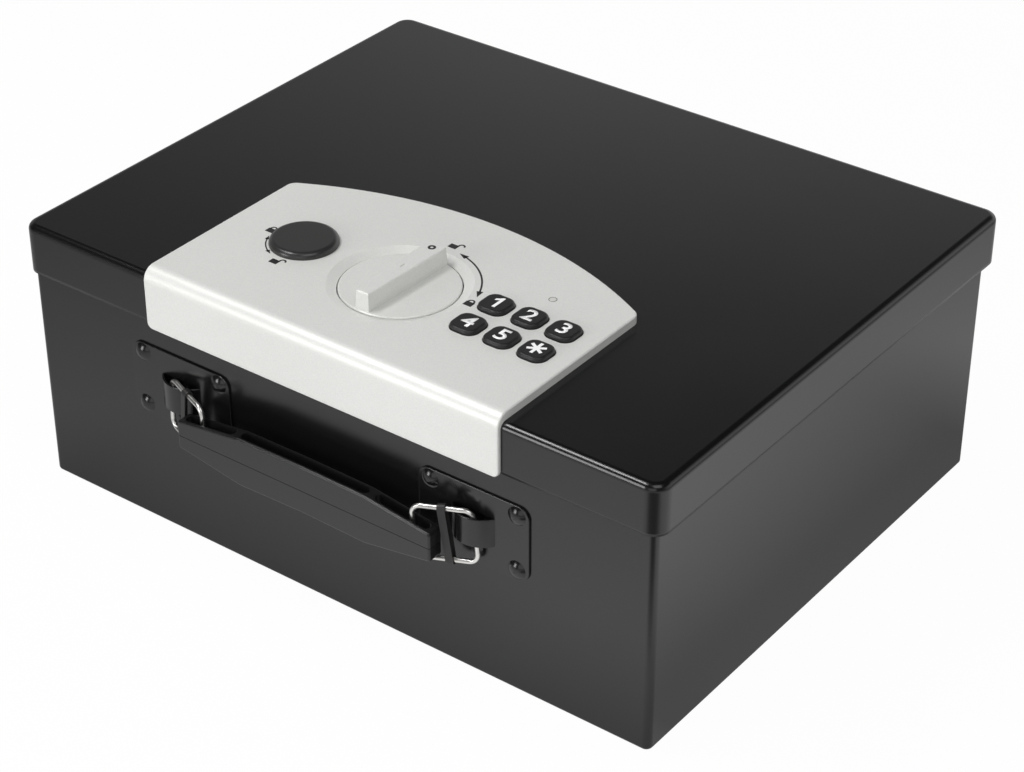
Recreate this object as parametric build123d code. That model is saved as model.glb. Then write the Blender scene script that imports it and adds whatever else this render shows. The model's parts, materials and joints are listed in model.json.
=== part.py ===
from build123d import *
import math
import os

os.makedirs("parts", exist_ok=True)

# Electronic document case, in millimetres.
# Origin at the middle of the underside, X to the right, Y to the back, Z up. The lid is closed.

# Case body
CASE_WIDTH = 330.0
CASE_DEPTH = 256.0
BODY_TOP = 128.6
SHEET = 1.0
BODY_CORNER = 3.1
BOTTOM_BEND = 1.6
TOP_BEND = 2.5
FLANGE_WIDTH = 10.0
STRIKE_UNDERSIDE = 122.6
STRIKE_SHEET = 1.6
STRIKE_HALF_WIDTH = 80.0
HALF_WIDTH = CASE_WIDTH / 2
HALF_DEPTH = CASE_DEPTH / 2
FRONT_FACE = -HALF_DEPTH
REAR_FACE = HALF_DEPTH

# Lid
LID_TOP = 129.6
LID_BOTTOM = 106.4
LID_FRONT_LIP = 2.2
LID_SIDE_LIP = 2.8
LID_REAR_LIP = 6.7
LID_CORNER = 7.5
LID_EDGE = 3.2
LID_HALF_WIDTH = HALF_WIDTH + LID_SIDE_LIP
LID_FRONT = FRONT_FACE - LID_FRONT_LIP
LID_REAR = REAR_FACE + LID_REAR_LIP
LID_UNDERSIDE = LID_TOP - SHEET

# Lock cover, its outline and what it holds
COVER_HALF_WIDTH = 93.4
COVER_TOP = 133.6
COVER_BOTTOM = 104.5
COVER_FRONT = LID_FRONT - 1.8
COVER_BACK = -13.1
COVER_BACK_RADIUS = 193.0
COVER_BACK_CORNER = 5.0
COVER_FLAP_CORNER = 3.0
COVER_FRONT_EDGE = 6.3
COVER_TOP_EDGE = 0.8
COVER_CEILING = COVER_TOP - 1.8
COVER_RIM = 3.2
BOSS_RADIUS = 3.0
BOSS_X = 87.8
BOSS_ROWS = (-104.0, -74.0, -44.0)

KNOB_Y = -76.0
KNOB_RADIUS = 26.0
KNOB_FACE = 132.3
KNOB_EDGE = 0.7
DISH_RADIUS = 31.0
DISH_BOTTOM = 131.7
KNOB_HOLE = KNOB_RADIUS + 0.5
BAR_TOP = 140.5
BAR_NEAR = -24.2
BAR_FAR = 25.2
BAR_NEAR_WIDTH = 6.3
BAR_FAR_WIDTH = 10.0
BAR_BULGE = 0.15
BAR_DRAFT = 1.0
HUB_RADIUS = 7.0
SPINDLE_SIZE = 6.0

KEY_COLUMNS = (43.6, 60.6, 77.6)
KEY_ROWS = (-67.3, -86.0)
KEY_NAMES = (("key_1", "key_2", "key_3"), ("key_4", "key_5", "key_star"))
KEY_SIZE = 13.5
KEY_CORNER = 4.6
KEY_TOP = 135.6
KEY_FLANGE = 15.4
KEY_GAP = 0.4
KEY_TRAVEL = 1.0
KEY_UNDERSIDE = 129.6
DOME_RADIUS = 3.6
BOARD_TOP = 126.4
BOARD = 1.6
LIGHT_X = 58.7
LIGHT_Y = -48.9
LIGHT_RADIUS = 1.6

CAP_X = -53.3
CAP_Y = -74.8
CAP_RADIUS = 15.2
CAP_HEIGHT = 3.0
CAP_EDGE = 2.4
BARREL_RADIUS = 9.5
PLUG_RADIUS = 6.0
PLUG_CLEARANCE = 0.06

# Lock works under the lid
CHASSIS_TOP = LID_UNDERSIDE
CHASSIS_BOTTOM = 127.1
CHASSIS_HALF_WIDTH = 92.0
CHASSIS_FRONT = -116.0
CHASSIS_BACK = -34.0
CAM_RADIUS = 22.0
CAM_TOP = 126.4
CAM_BOTTOM = 123.4
FOLLOWER_START = 10.0
LATCH_TRAVEL = 8.0
KNOB_TURN = 90.0
FOLLOWER_RADIUS = 2.3
LATCH_TOP = 122.2
LATCH_BOTTOM = 120.2
LATCH_HALF_WIDTH = 62.0
LATCH_TIP = -115.5
LATCH_BAR_FRONT = -103.5
LATCH_BAR_BACK = -85.0
NOSE_X = 50.0
NOSE_WIDTH = 22.0
STUD_X = 48.0
STUD_Y = -99.0
SOLENOID_X = 24.0
SOLENOID_Y = -100.0
SOLENOID_BOTTOM = 99.6
BARREL_BOTTOM = 114.6
HOUSING_HALF_WIDTH = 84.0
HOUSING_FRONT = -114.0
HOUSING_BOTTOM = 94.6
HOUSING_WALL = 2.0
BAY_TOP = HOUSING_BOTTOM + 14
POST_TOP = HOUSING_BOTTOM + 12
EAR = 2.6
CELL_RADIUS = 7.25
CELL_ROWS = (-60.6, -45.4)
CELL_LENGTH = 50.5
DOOR_HALF_WIDTH = 55.2
DOOR_FRONT = -68.2
DOOR_BACK = -37.8

# Hinges
HINGE_X = 95.0
HINGE_LENGTH = 60.0
HINGE_Y = REAR_FACE + 2.8
HINGE_Z = LID_BOTTOM + 0.5
KNUCKLE_RADIUS = 2.4
HINGE_PIN_RADIUS = 1.3
PIN_CLEARANCE = 0.06
LEAF = 1.1
KNUCKLES = 5
KNUCKLE_GAP = 0.25

# Handle and what carries it
PLATE_X = 78.7
PLATE_Z = 75.2
PLATE_WIDTH = 55.3
PLATE_HEIGHT = 35.6
PLATE_CORNER = 5.2
PLATE_FRONT = FRONT_FACE - SHEET
RIVET_SPAN_X = 43.4
RIVET_SPAN_Z = 26.2
RIVET_RADIUS = 4.4
RIVET_HEIGHT = 1.9
STRAP_HALF_SPAN = 10.8
STRAP_DEPTH = 6.0
STRAP_HEIGHT = 13.3
WIRE_RADIUS = 1.1
RING_REACH = 26.5
RING_HEIGHT = 24.6
RING_BEND = 4.2
RING_X = 82.2
RING_Y = FRONT_FACE - 3.6
RING_Z = 71.6
RING_SWING = 18.5
RING_DROOP = 5.0
HANDLE_HALF_LENGTH = 68.2
HANDLE_THICKNESS = 8.0
HANDLE_Y = FRONT_FACE - 12.0
HANDLE_PARTING = 66.5
PARTING_GROOVE = 0.25
HANDLE_SLOT = 4.6
SLOT_INNER = 37.8
SLOT_OUTER = 65.5
TIE_WIDTH = 3.4
TIE_THICKNESS = 0.7


def block(x0, x1, y0, y1, z0, z1):
    """Box between two corners."""
    return Pos((x0 + x1) / 2, (y0 + y1) / 2, (z0 + z1) / 2) * Box(x1 - x0, y1 - y0, z1 - z0)


def post(x, y, z0, z1, radius):
    """Upright round bar."""
    return Pos(x, y, (z0 + z1) / 2) * Cylinder(radius, z1 - z0)


def rounded_block(x0, x1, y0, y1, z0, z1, corner, edge, upper):
    """Box with rounded upright corners and one rounded rim, the upper or the lower one."""
    solid = block(x0, x1, y0, y1, z0, z1)
    solid = fillet(solid.edges().filter_by(Axis.Z), corner)
    faces = solid.faces().sort_by(Axis.Z)
    face = faces[-1] if upper else faces[0]
    return fillet(face.edges(), edge)


def rounded_prism(x, y, z0, z1, width, depth, corner):
    """Upright prism on a rounded rectangle."""
    sketch = Pos(x, y, z0) * RectangleRounded(width, depth, corner)
    return extrude(sketch, z1 - z0)


def save(name, shape):
    export_step(shape, f"parts/{name}.step")


def rivet_places():
    """Centres of the eight handle rivets on the front wall, as x and z."""
    places = []
    for side in (-1, 1):
        for i in (-0.5, 0.5):
            for k in (-0.5, 0.5):
                places.append((side * PLATE_X + i * RIVET_SPAN_X, PLATE_Z + k * RIVET_SPAN_Z))
    return places


def front_bar(x, z, y0, y1, radius):
    """Round bar along Y between two depths."""
    return Pos(x, (y0 + y1) / 2, z) * Rot(90, 0, 0) * Cylinder(radius, y1 - y0)


def make_body_shell():
    """Folded tray with an inward flange round its mouth and holes for the rivets."""
    shell = rounded_block(-HALF_WIDTH, HALF_WIDTH, FRONT_FACE, REAR_FACE, 0, BODY_TOP,
                          BODY_CORNER, BOTTOM_BEND, False)
    shell = fillet(shell.faces().sort_by(Axis.Z)[-1].edges(), TOP_BEND)
    inside = rounded_block(-HALF_WIDTH + SHEET, HALF_WIDTH - SHEET, FRONT_FACE + SHEET, REAR_FACE - SHEET,
                           SHEET, BODY_TOP - SHEET, BODY_CORNER - SHEET, BOTTOM_BEND - SHEET, False)
    inside = fillet(inside.faces().sort_by(Axis.Z)[-1].edges(), TOP_BEND - SHEET)
    mouth = rounded_prism(0, 0, BODY_TOP - 2 * SHEET, BODY_TOP + 1, CASE_WIDTH - 2 * FLANGE_WIDTH,
                          CASE_DEPTH - 2 * FLANGE_WIDTH, 6)
    shell = shell - inside - mouth
    for x, z in rivet_places():
        shell -= front_bar(x, z, FRONT_FACE - 1, FRONT_FACE + 2 * SHEET, 2.0)
    return shell


def make_strike_plate():
    """Angle welded to the front wall below the flange, with the ledge where the latch noses catch."""
    wall = FRONT_FACE + SHEET
    ledge = block(-STRIKE_HALF_WIDTH, STRIKE_HALF_WIDTH, wall, wall + 9,
                  STRIKE_UNDERSIDE, STRIKE_UNDERSIDE + STRIKE_SHEET)
    leg = block(-STRIKE_HALF_WIDTH, STRIKE_HALF_WIDTH, wall, wall + STRIKE_SHEET,
                STRIKE_UNDERSIDE - 12, BODY_TOP - TOP_BEND)
    return ledge + leg


def make_lid_shell():
    """Folded lid with a rounded rim and the openings that the lock needs."""
    outer = rounded_block(-LID_HALF_WIDTH, LID_HALF_WIDTH, LID_FRONT, LID_REAR, LID_BOTTOM, LID_TOP,
                          LID_CORNER, LID_EDGE, True)
    inner = rounded_block(-LID_HALF_WIDTH + SHEET, LID_HALF_WIDTH - SHEET, LID_FRONT + SHEET, LID_REAR - SHEET,
                          LID_BOTTOM - 1, LID_UNDERSIDE, LID_CORNER - SHEET, LID_EDGE - SHEET, True)
    lid = outer - inner
    for opening in sheet_openings(LID_UNDERSIDE - 1, LID_TOP + 1):
        lid -= opening
    for x, y in boss_places():
        lid -= post(x, y, LID_UNDERSIDE - 1, LID_TOP + 1, BOSS_RADIUS + 0.3)
    return lid


def sheet_openings(z0, z1):
    """Openings of the lid sheet: knob, emergency lock, keys and light."""
    knob = post(0, KNOB_Y, z0, z1, KNOB_RADIUS + 0.8)
    lock = post(CAP_X, CAP_Y, z0, z1, BARREL_RADIUS + 0.3)
    light = post(LIGHT_X, LIGHT_Y, z0, z1, LIGHT_RADIUS + 1.2)
    return [knob, lock, light, key_window(z0, z1)]


def key_window(z0, z1):
    """One window round all six keys."""
    margin = KEY_FLANGE / 2 + 0.4
    return block(KEY_COLUMNS[0] - margin, KEY_COLUMNS[-1] + margin,
                 KEY_ROWS[1] - margin, KEY_ROWS[0] + margin, z0, z1)


def boss_places():
    """Centres of the bosses and screws that clamp the lock to the lid."""
    return [(side * BOSS_X, y) for side in (-1, 1) for y in BOSS_ROWS]


def cover_outline(inset):
    """Plan of the lock cover: straight front and sides, arched back, rounded back corners."""
    half = COVER_HALF_WIDTH - inset
    radius = COVER_BACK_RADIUS - inset
    front = COVER_FRONT + inset
    centre = COVER_BACK - COVER_BACK_RADIUS
    shoulder = centre + math.sqrt(radius ** 2 - half ** 2)
    edges = Line((-half, front), (half, front))
    edges += Line((half, front), (half, shoulder))
    edges += ThreePointArc((half, shoulder), (0, centre + radius), (-half, shoulder))
    edges += Line((-half, shoulder), (-half, front))
    plan = make_face(edges)
    back_corners = plan.vertices().sort_by(Axis.Y)[-2:]
    return fillet(back_corners, COVER_BACK_CORNER - inset)


def make_lock_cover():
    """Moulded cover over the lid top and front edge, with the knob dish, key windows and bosses."""
    cover = Pos(0, 0, COVER_BOTTOM) * extrude(cover_outline(0), COVER_TOP - COVER_BOTTOM)
    flap_corners = cover.edges().filter_by(Axis.Y).group_by(Axis.Z)[0]
    cover = fillet(flap_corners, COVER_FLAP_CORNER)
    front_top = cover.edges().filter_by(Axis.X).sort_by(Axis.Z)[-1]
    cover = fillet(front_top, COVER_FRONT_EDGE)
    cover = fillet(cover.edges().filter_by(is_cover_rim), COVER_TOP_EDGE)
    cover -= rounded_block(-LID_HALF_WIDTH, LID_HALF_WIDTH, LID_FRONT, LID_REAR, LID_BOTTOM - 10, LID_TOP,
                           LID_CORNER, LID_EDGE, True)
    cover -= cover_hollow()
    for x, y in boss_places():
        boss = post(x, y, CHASSIS_TOP, COVER_CEILING, BOSS_RADIUS)
        cover = cover + boss - post(x, y, CHASSIS_TOP - 1, COVER_TOP - 1, 1.5)
    dish_depth = COVER_TOP - DISH_BOTTOM
    cover -= Pos(0, KNOB_Y, DISH_BOTTOM + dish_depth / 2) * Cone(KNOB_HOLE, DISH_RADIUS, dish_depth)
    cover -= post(0, KNOB_Y, LID_TOP - 1, COVER_TOP + 1, KNOB_HOLE)
    for row in KEY_ROWS:
        for column in KEY_COLUMNS:
            size = KEY_SIZE + 2 * KEY_GAP
            cover -= rounded_prism(column, row, LID_TOP - 1, COVER_TOP + 1, size, size, KEY_CORNER + KEY_GAP)
    cover -= post(CAP_X, CAP_Y, LID_TOP - 1, COVER_TOP + 1, BARREL_RADIUS + 0.1)
    cover -= post(CAP_X, CAP_Y, COVER_TOP - 1.7, COVER_TOP + 1, CAP_RADIUS - 1.8)
    cover -= post(LIGHT_X, LIGHT_Y, LID_TOP - 1, COVER_TOP + 1, LIGHT_RADIUS)
    return cover


def is_cover_rim(edge):
    """True for the edges that run all round the cover's outside, over its top and down its flap."""
    place = edge.center()
    on_top = abs(place.Z - COVER_TOP) < 0.01 and place.Y > COVER_FRONT + COVER_FRONT_EDGE + 1
    seam = place.Z > COVER_BOTTOM + COVER_FLAP_CORNER and abs(place.X) < 1
    on_flap = place.Y < COVER_FRONT + COVER_FRONT_EDGE / 2 and not seam
    return on_top or on_flap


def cover_hollow():
    """Relief under the cover, inside its rim and clear of the knob and lock seats."""
    hollow = extrude(Pos(0, 0, LID_TOP - 1) * cover_outline(COVER_RIM), COVER_CEILING - LID_TOP + 1)
    hollow -= block(-HALF_WIDTH, HALF_WIDTH, COVER_FRONT - 1, LID_FRONT + LID_EDGE + 4, LID_TOP - 2, COVER_TOP)
    hollow -= post(0, KNOB_Y, LID_TOP - 2, COVER_TOP, DISH_RADIUS + 2)
    hollow -= post(CAP_X, CAP_Y, LID_TOP - 2, COVER_TOP, CAP_RADIUS + 2)
    return hollow


def bar_outline(shrink):
    """Plan of the knob's grip bar, wider at the pointer end, with slightly bulging sides."""
    near = BAR_NEAR_WIDTH / 2 - shrink
    far = BAR_FAR_WIDTH / 2 - shrink
    start = BAR_NEAR + shrink
    end = BAR_FAR - shrink
    waist = (near + far) / 2 + BAR_BULGE
    edges = Line((-near, start), (near, start))
    edges += ThreePointArc((near, start), (waist, 0), (far, end))
    edges += ThreePointArc((far, end), (0, end + 0.6), (-far, end))
    edges += ThreePointArc((-far, end), (-waist, 0), (-near, start))
    return make_face(edges)


def grip_bar(shrink, z0, z1):
    """Tapered bar of the knob between two heights, shrunk for its hollow core."""
    foot = Pos(0, KNOB_Y, z0) * bar_outline(shrink - BAR_DRAFT / 2)
    crown = Pos(0, KNOB_Y, z1) * bar_outline(shrink)
    return loft([foot, crown])


def make_knob():
    """Turn knob: thin disc, hollow grip bar and a hub with a square socket."""
    bar = grip_bar(0, KNOB_FACE - 1, BAR_TOP)
    bar = fillet(bar.faces().sort_by(Axis.Z)[-1].edges(), 0.6)
    disc = post(0, KNOB_Y, CHASSIS_TOP + 0.4, KNOB_FACE, KNOB_RADIUS)
    disc = fillet(disc.edges().sort_by(Axis.Z)[-1], KNOB_EDGE)
    knob = disc + (bar & post(0, KNOB_Y, KNOB_FACE - 1, BAR_TOP + 1, KNOB_RADIUS - KNOB_EDGE))
    core = grip_bar(1.5, CHASSIS_TOP + 0.3, BAR_TOP - 1.6)
    knob -= core & post(0, KNOB_Y, CHASSIS_TOP, BAR_TOP, KNOB_RADIUS - 3)
    knob += post(0, KNOB_Y, CAM_TOP, KNOB_FACE - 0.5, HUB_RADIUS)
    knob += post(0, KNOB_Y, CHASSIS_TOP + 0.05, KNOB_FACE - 0.5, HUB_RADIUS + 2)
    knob += grip_bar(0.5, KNOB_FACE - 1, BAR_TOP - 1) & post(0, KNOB_Y, KNOB_FACE - 1, BAR_TOP, HUB_RADIUS)
    knob -= rounded_prism(0, KNOB_Y, CAM_TOP - 1, LID_TOP, SPINDLE_SIZE, SPINDLE_SIZE, 0.4)
    knob -= rounded_prism(0, KNOB_Y + 2.5, BAR_TOP - 0.35, BAR_TOP + 1, 1.7, 3.4, 0.8)
    return knob


def make_spindle():
    """Square bar from the knob's hub through the cam, bored for the cam screw."""
    bar = rounded_prism(0, KNOB_Y, CAM_BOTTOM, LID_TOP, SPINDLE_SIZE, SPINDLE_SIZE, 0.4)
    return bar - post(0, KNOB_Y, CAM_BOTTOM - 1, LID_TOP - 1, 1.5)


def make_cam():
    """Spiral cam: the slot moves away from the centre in step with the turn."""
    disc = post(0, KNOB_Y, CAM_BOTTOM, CAM_TOP, CAM_RADIUS)
    points = []
    steps = 6
    for i in range(steps + 1):
        share = i / steps
        angle = math.radians(-90 + KNOB_TURN * share)
        reach = FOLLOWER_START + LATCH_TRAVEL * share
        points.append((reach * math.cos(angle), KNOB_Y + reach * math.sin(angle)))
    half = FOLLOWER_RADIUS + 0.35
    slot = trace(Spline(*points), line_width=2 * half)
    cutter = extrude(Pos(0, 0, CAM_BOTTOM - 1) * slot, CAM_TOP - CAM_BOTTOM + 2)
    for x, y in (points[0], points[-1]):
        cutter += post(x, y, CAM_BOTTOM - 1, CAM_TOP + 1, half)
    disc -= cutter
    disc -= rounded_prism(0, KNOB_Y, CAM_BOTTOM - 1, CAM_TOP + 1, SPINDLE_SIZE, SPINDLE_SIZE, 0.4)
    return disc


def make_cam_screw():
    """Screw with a wide head that holds the cam on the spindle."""
    head = post(0, KNOB_Y, CAM_BOTTOM - 2.2, CAM_BOTTOM, 5.0)
    head = fillet(head.edges().sort_by(Axis.Z)[0], 0.8)
    cross = block(-2.4, 2.4, KNOB_Y - 0.5, KNOB_Y + 0.5, CAM_BOTTOM - 3, CAM_BOTTOM - 1.2)
    cross += block(-0.5, 0.5, KNOB_Y - 2.4, KNOB_Y + 2.4, CAM_BOTTOM - 3, CAM_BOTTOM - 1.2)
    return head - cross + post(0, KNOB_Y, CAM_BOTTOM, LID_TOP - 1.5, 1.5)


def make_latch_plate():
    """Sliding steel plate with two noses, a cam tongue and slots for its guide studs."""
    back = KNOB_Y + 18
    plate = block(-LATCH_HALF_WIDTH, LATCH_HALF_WIDTH, LATCH_BAR_FRONT, LATCH_BAR_BACK, LATCH_BOTTOM, LATCH_TOP)
    plate += block(-14, 14, LATCH_BAR_BACK, back, LATCH_BOTTOM, LATCH_TOP)
    for side in (-1, 1):
        x = side * NOSE_X
        nose = block(x - NOSE_WIDTH / 2, x + NOSE_WIDTH / 2, LATCH_TIP, LATCH_BAR_FRONT, LATCH_BOTTOM, LATCH_TOP)
        tip = nose.edges().filter_by(Axis.Z).group_by(Axis.Y)[0]
        plate += fillet(tip, 2.0)
        plate -= slot_cutter(side * STUD_X, STUD_Y, STUD_Y + LATCH_TRAVEL, 2.75)
    plate -= block(-6.5, 6.5, KNOB_Y - 6.3, KNOB_Y + 6.3 + LATCH_TRAVEL, LATCH_BOTTOM - 1, LATCH_TOP + 1)
    plate -= post(CAP_X, CAP_Y, LATCH_BOTTOM - 1, LATCH_TOP + 1, BARREL_RADIUS + 1.5)
    plate -= post(0, KNOB_Y - FOLLOWER_START, LATCH_BOTTOM - 1, LATCH_TOP + 1, FOLLOWER_RADIUS)
    plate -= post(SOLENOID_X, SOLENOID_Y + LATCH_TRAVEL, LATCH_BOTTOM - 1, LATCH_TOP + 1, 3.2)
    return plate


def slot_cutter(x, y0, y1, radius):
    """Upright cutter for a slot along Y, through the latch plate."""
    low = LATCH_BOTTOM - 1
    high = LATCH_TOP + 1
    cutter = block(x - radius, x + radius, y0, y1, low, high)
    return cutter + post(x, y0, low, high, radius) + post(x, y1, low, high, radius)


def make_follower_pin():
    """Pin riveted into the latch plate, which runs in the cam's slot."""
    return post(0, KNOB_Y - FOLLOWER_START, LATCH_BOTTOM, CAM_TOP - 0.4, FOLLOWER_RADIUS)


def make_guide_studs():
    """Two shouldered studs that hang from the chassis and guide the latch plate."""
    studs = []
    for side in (-1, 1):
        x = side * STUD_X
        stud = post(x, STUD_Y, LATCH_BOTTOM - 1.6, CHASSIS_TOP, 2.4)
        stud += post(x, STUD_Y, LATCH_TOP + 0.3, CHASSIS_BOTTOM, 4.4)
        head = post(x, STUD_Y, LATCH_BOTTOM - 1.6, LATCH_BOTTOM - 0.3, 4.6)
        studs.append(stud + head)
    return Compound(children=studs)


def make_chassis():
    """Steel plate under the lid that carries the knob's hub, the emergency lock and the studs."""
    plate = rounded_prism(0, (CHASSIS_FRONT + CHASSIS_BACK) / 2, CHASSIS_BOTTOM, CHASSIS_TOP,
                          2 * CHASSIS_HALF_WIDTH, CHASSIS_BACK - CHASSIS_FRONT, 5)
    low = CHASSIS_BOTTOM - 1
    high = CHASSIS_TOP + 1
    plate -= post(0, KNOB_Y, low, high, HUB_RADIUS + PIN_CLEARANCE)
    plate -= post(CAP_X, CAP_Y, low, high, BARREL_RADIUS)
    plate -= post(LIGHT_X, LIGHT_Y, low, high, LIGHT_RADIUS + 1.2)
    plate -= key_window(low, high)
    for side in (-1, 1):
        plate -= post(side * STUD_X, STUD_Y, low, high, 2.4)
    for x, y in boss_places():
        plate -= post(x, y, low, high, 1.7)
    for x, y in board_screw_places():
        plate -= post(x, y, low, high, 1.0)
    return plate


def make_solenoid():
    """Coil in a bent steel frame, hung from the chassis behind the latch bar, with a bored core."""
    x = SOLENOID_X
    y = SOLENOID_Y
    sheet = 1.4
    foot = SOLENOID_BOTTOM + sheet
    head = foot + 16
    bracket_back = -83.0
    frame = block(x - 9, x + 9, y - 7.5, bracket_back, head, head + sheet)
    frame += block(x - 9, x + 9, y - 7.5, y + 8, SOLENOID_BOTTOM, foot)
    frame += block(x - 9, x + 9, y + 8 - sheet, y + 8, foot, head)
    frame += block(x - 2, x + 9, bracket_back - sheet, bracket_back, head + sheet, CHASSIS_BOTTOM)
    coil = post(x, y, foot, head, 6.2)
    return frame + coil - post(x, y, foot + 1.2, head + 2, 2.8)


def make_plunger():
    """Spring loaded pin of the solenoid, which blocks the latch plate when it is shut."""
    stem = post(SOLENOID_X, SOLENOID_Y, SOLENOID_BOTTOM + 6, LATCH_BOTTOM - 0.3, 2.45)
    return chamfer(stem.edges().sort_by(Axis.Z)[-1], 0.5)


def make_plunger_spring():
    """Small coil spring under the plunger."""
    path = Helix(1.3, 2.6, 1.7, center=(SOLENOID_X, SOLENOID_Y, SOLENOID_BOTTOM + 2.95))
    wire = Plane(path @ 0, z_dir=path % 0) * Circle(0.25)
    return sweep(wire, path=path, is_frenet=True)


def make_lock_barrel():
    """Fixed barrel of the emergency lock, threaded through the chassis."""
    barrel = post(CAP_X, CAP_Y, BARREL_BOTTOM, COVER_TOP - 1.7, BARREL_RADIUS)
    barrel = barrel - post(CAP_X, CAP_Y, BARREL_BOTTOM - 1, COVER_TOP, PLUG_RADIUS + PLUG_CLEARANCE)
    return chamfer(barrel.edges().sort_by(Axis.Z)[-1], 0.3)


def make_lock_nut():
    """Hexagon nut that clamps the barrel under the chassis."""
    nut = extrude(Pos(CAP_X, CAP_Y, CHASSIS_BOTTOM - 3.5) * RegularPolygon(13.5, 6), 3.5)
    return nut - post(CAP_X, CAP_Y, CHASSIS_BOTTOM - 5, CHASSIS_BOTTOM + 1, BARREL_RADIUS)


def make_lock_plug():
    """Turning plug with its keyhole and the release arm below the barrel."""
    top = BARREL_BOTTOM - 0.2
    bottom = BARREL_BOTTOM - 2
    plug = post(CAP_X, CAP_Y, top, COVER_TOP - 1.9, PLUG_RADIUS)
    plug += post(CAP_X, CAP_Y, bottom, top, PLUG_RADIUS + 1.5)
    arm = block(CAP_X, CAP_X + 15, CAP_Y - 3, CAP_Y + 3, bottom, top)
    arm = fillet(arm.edges().filter_by(Axis.Z).group_by(Axis.X)[-1], 2.6)
    keyhole = block(CAP_X - 1.1, CAP_X + 1.1, CAP_Y - 4.2, CAP_Y + 4.2, top + 3, COVER_TOP)
    return plug + arm - keyhole


def make_override_cap():
    """Push-in cap over the emergency lock: shallow dome with a split skirt below."""
    top = COVER_TOP + CAP_HEIGHT
    cap = post(CAP_X, CAP_Y, COVER_TOP, top, CAP_RADIUS)
    cap = fillet(cap.edges().sort_by(Axis.Z)[-1], CAP_EDGE)
    skirt = post(CAP_X, CAP_Y, COVER_TOP - 1.5, COVER_TOP, CAP_RADIUS - 2.2)
    cap += skirt
    cap -= post(CAP_X, CAP_Y, COVER_TOP - 2, top - 1.3, CAP_RADIUS - 3.4)
    for turn in (0, 90):
        cap -= Pos(CAP_X, CAP_Y, COVER_TOP - 1) * Rot(0, 0, turn) * Box(40, 1.2, 1.9)
    return cap


def make_key(x, y):
    """Rubber key: rounded square cap with a softened top, on a wider flange under the cover."""
    cap = rounded_prism(x, y, KEY_UNDERSIDE, KEY_TOP, KEY_SIZE, KEY_SIZE, KEY_CORNER)
    cap = fillet(cap.faces().sort_by(Axis.Z)[-1].edges(), 1.3)
    flange = rounded_prism(x, y, KEY_UNDERSIDE, COVER_CEILING, KEY_FLANGE, KEY_FLANGE, KEY_CORNER + 0.9)
    return cap + flange


def make_key_domes():
    """Rubber sheet with a dome under each key, drawn at its pressed height."""
    pad = DOME_RADIUS + 0.2
    sheet = block(KEY_COLUMNS[0] - pad, KEY_COLUMNS[-1] + pad, KEY_ROWS[1] - pad, KEY_ROWS[0] + pad,
                  BOARD_TOP, BOARD_TOP + 0.6)
    dome = KEY_UNDERSIDE - KEY_TRAVEL - 0.1 - BOARD_TOP
    for row in KEY_ROWS:
        for column in KEY_COLUMNS:
            sheet += Pos(column, row, BOARD_TOP + dome / 2) * Cone(DOME_RADIUS, 2.4, dome)
    return sheet


def board_screw_places():
    """Corners where the key board hangs from the chassis."""
    return [(x, y) for x in (37.0, 79.5) for y in (-95.9, -45.0)]


def make_key_board():
    """Circuit board under the keys, hung from the chassis on four spacers."""
    board = block(34.6, 81.6, -94.2, -42.6, BOARD_TOP - BOARD, BOARD_TOP)
    for x, y in board_screw_places():
        board += block(x - 2.4, x + 2.1, y - 2.1, y + 2.1, BOARD_TOP - BOARD, BOARD_TOP)
        board += post(x, y, BOARD_TOP, CHASSIS_BOTTOM, 1.7)
        board -= post(x, y, BOARD_TOP - BOARD - 1, CHASSIS_BOTTOM + 1, 1.0)
    board += block(38, 46, -56, -48, BOARD_TOP - BOARD - 1.6, BOARD_TOP - BOARD)
    return board


def make_board_screws():
    """Four small screws that hold the key board to the chassis."""
    screws = []
    under = BOARD_TOP - BOARD
    for x, y in board_screw_places():
        head = post(x, y, under - 1.2, under, 1.8)
        head = fillet(head.edges().sort_by(Axis.Z)[0], 0.5)
        head -= block(x - 1.2, x + 1.2, y - 0.25, y + 0.25, under - 2, under - 0.6)
        screws.append(head + post(x, y, under, CHASSIS_TOP - 0.3, 1.0))
    return Compound(children=screws)


def make_light():
    """Light with a domed lens, standing on the key board and filling its hole in the cover."""
    stem = post(LIGHT_X, LIGHT_Y, BOARD_TOP, COVER_TOP + 0.2, LIGHT_RADIUS)
    stem = fillet(stem.edges().sort_by(Axis.Z)[-1], 0.5)
    return stem + post(LIGHT_X, LIGHT_Y, BOARD_TOP, BOARD_TOP + 1, LIGHT_RADIUS + 0.6)


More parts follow.
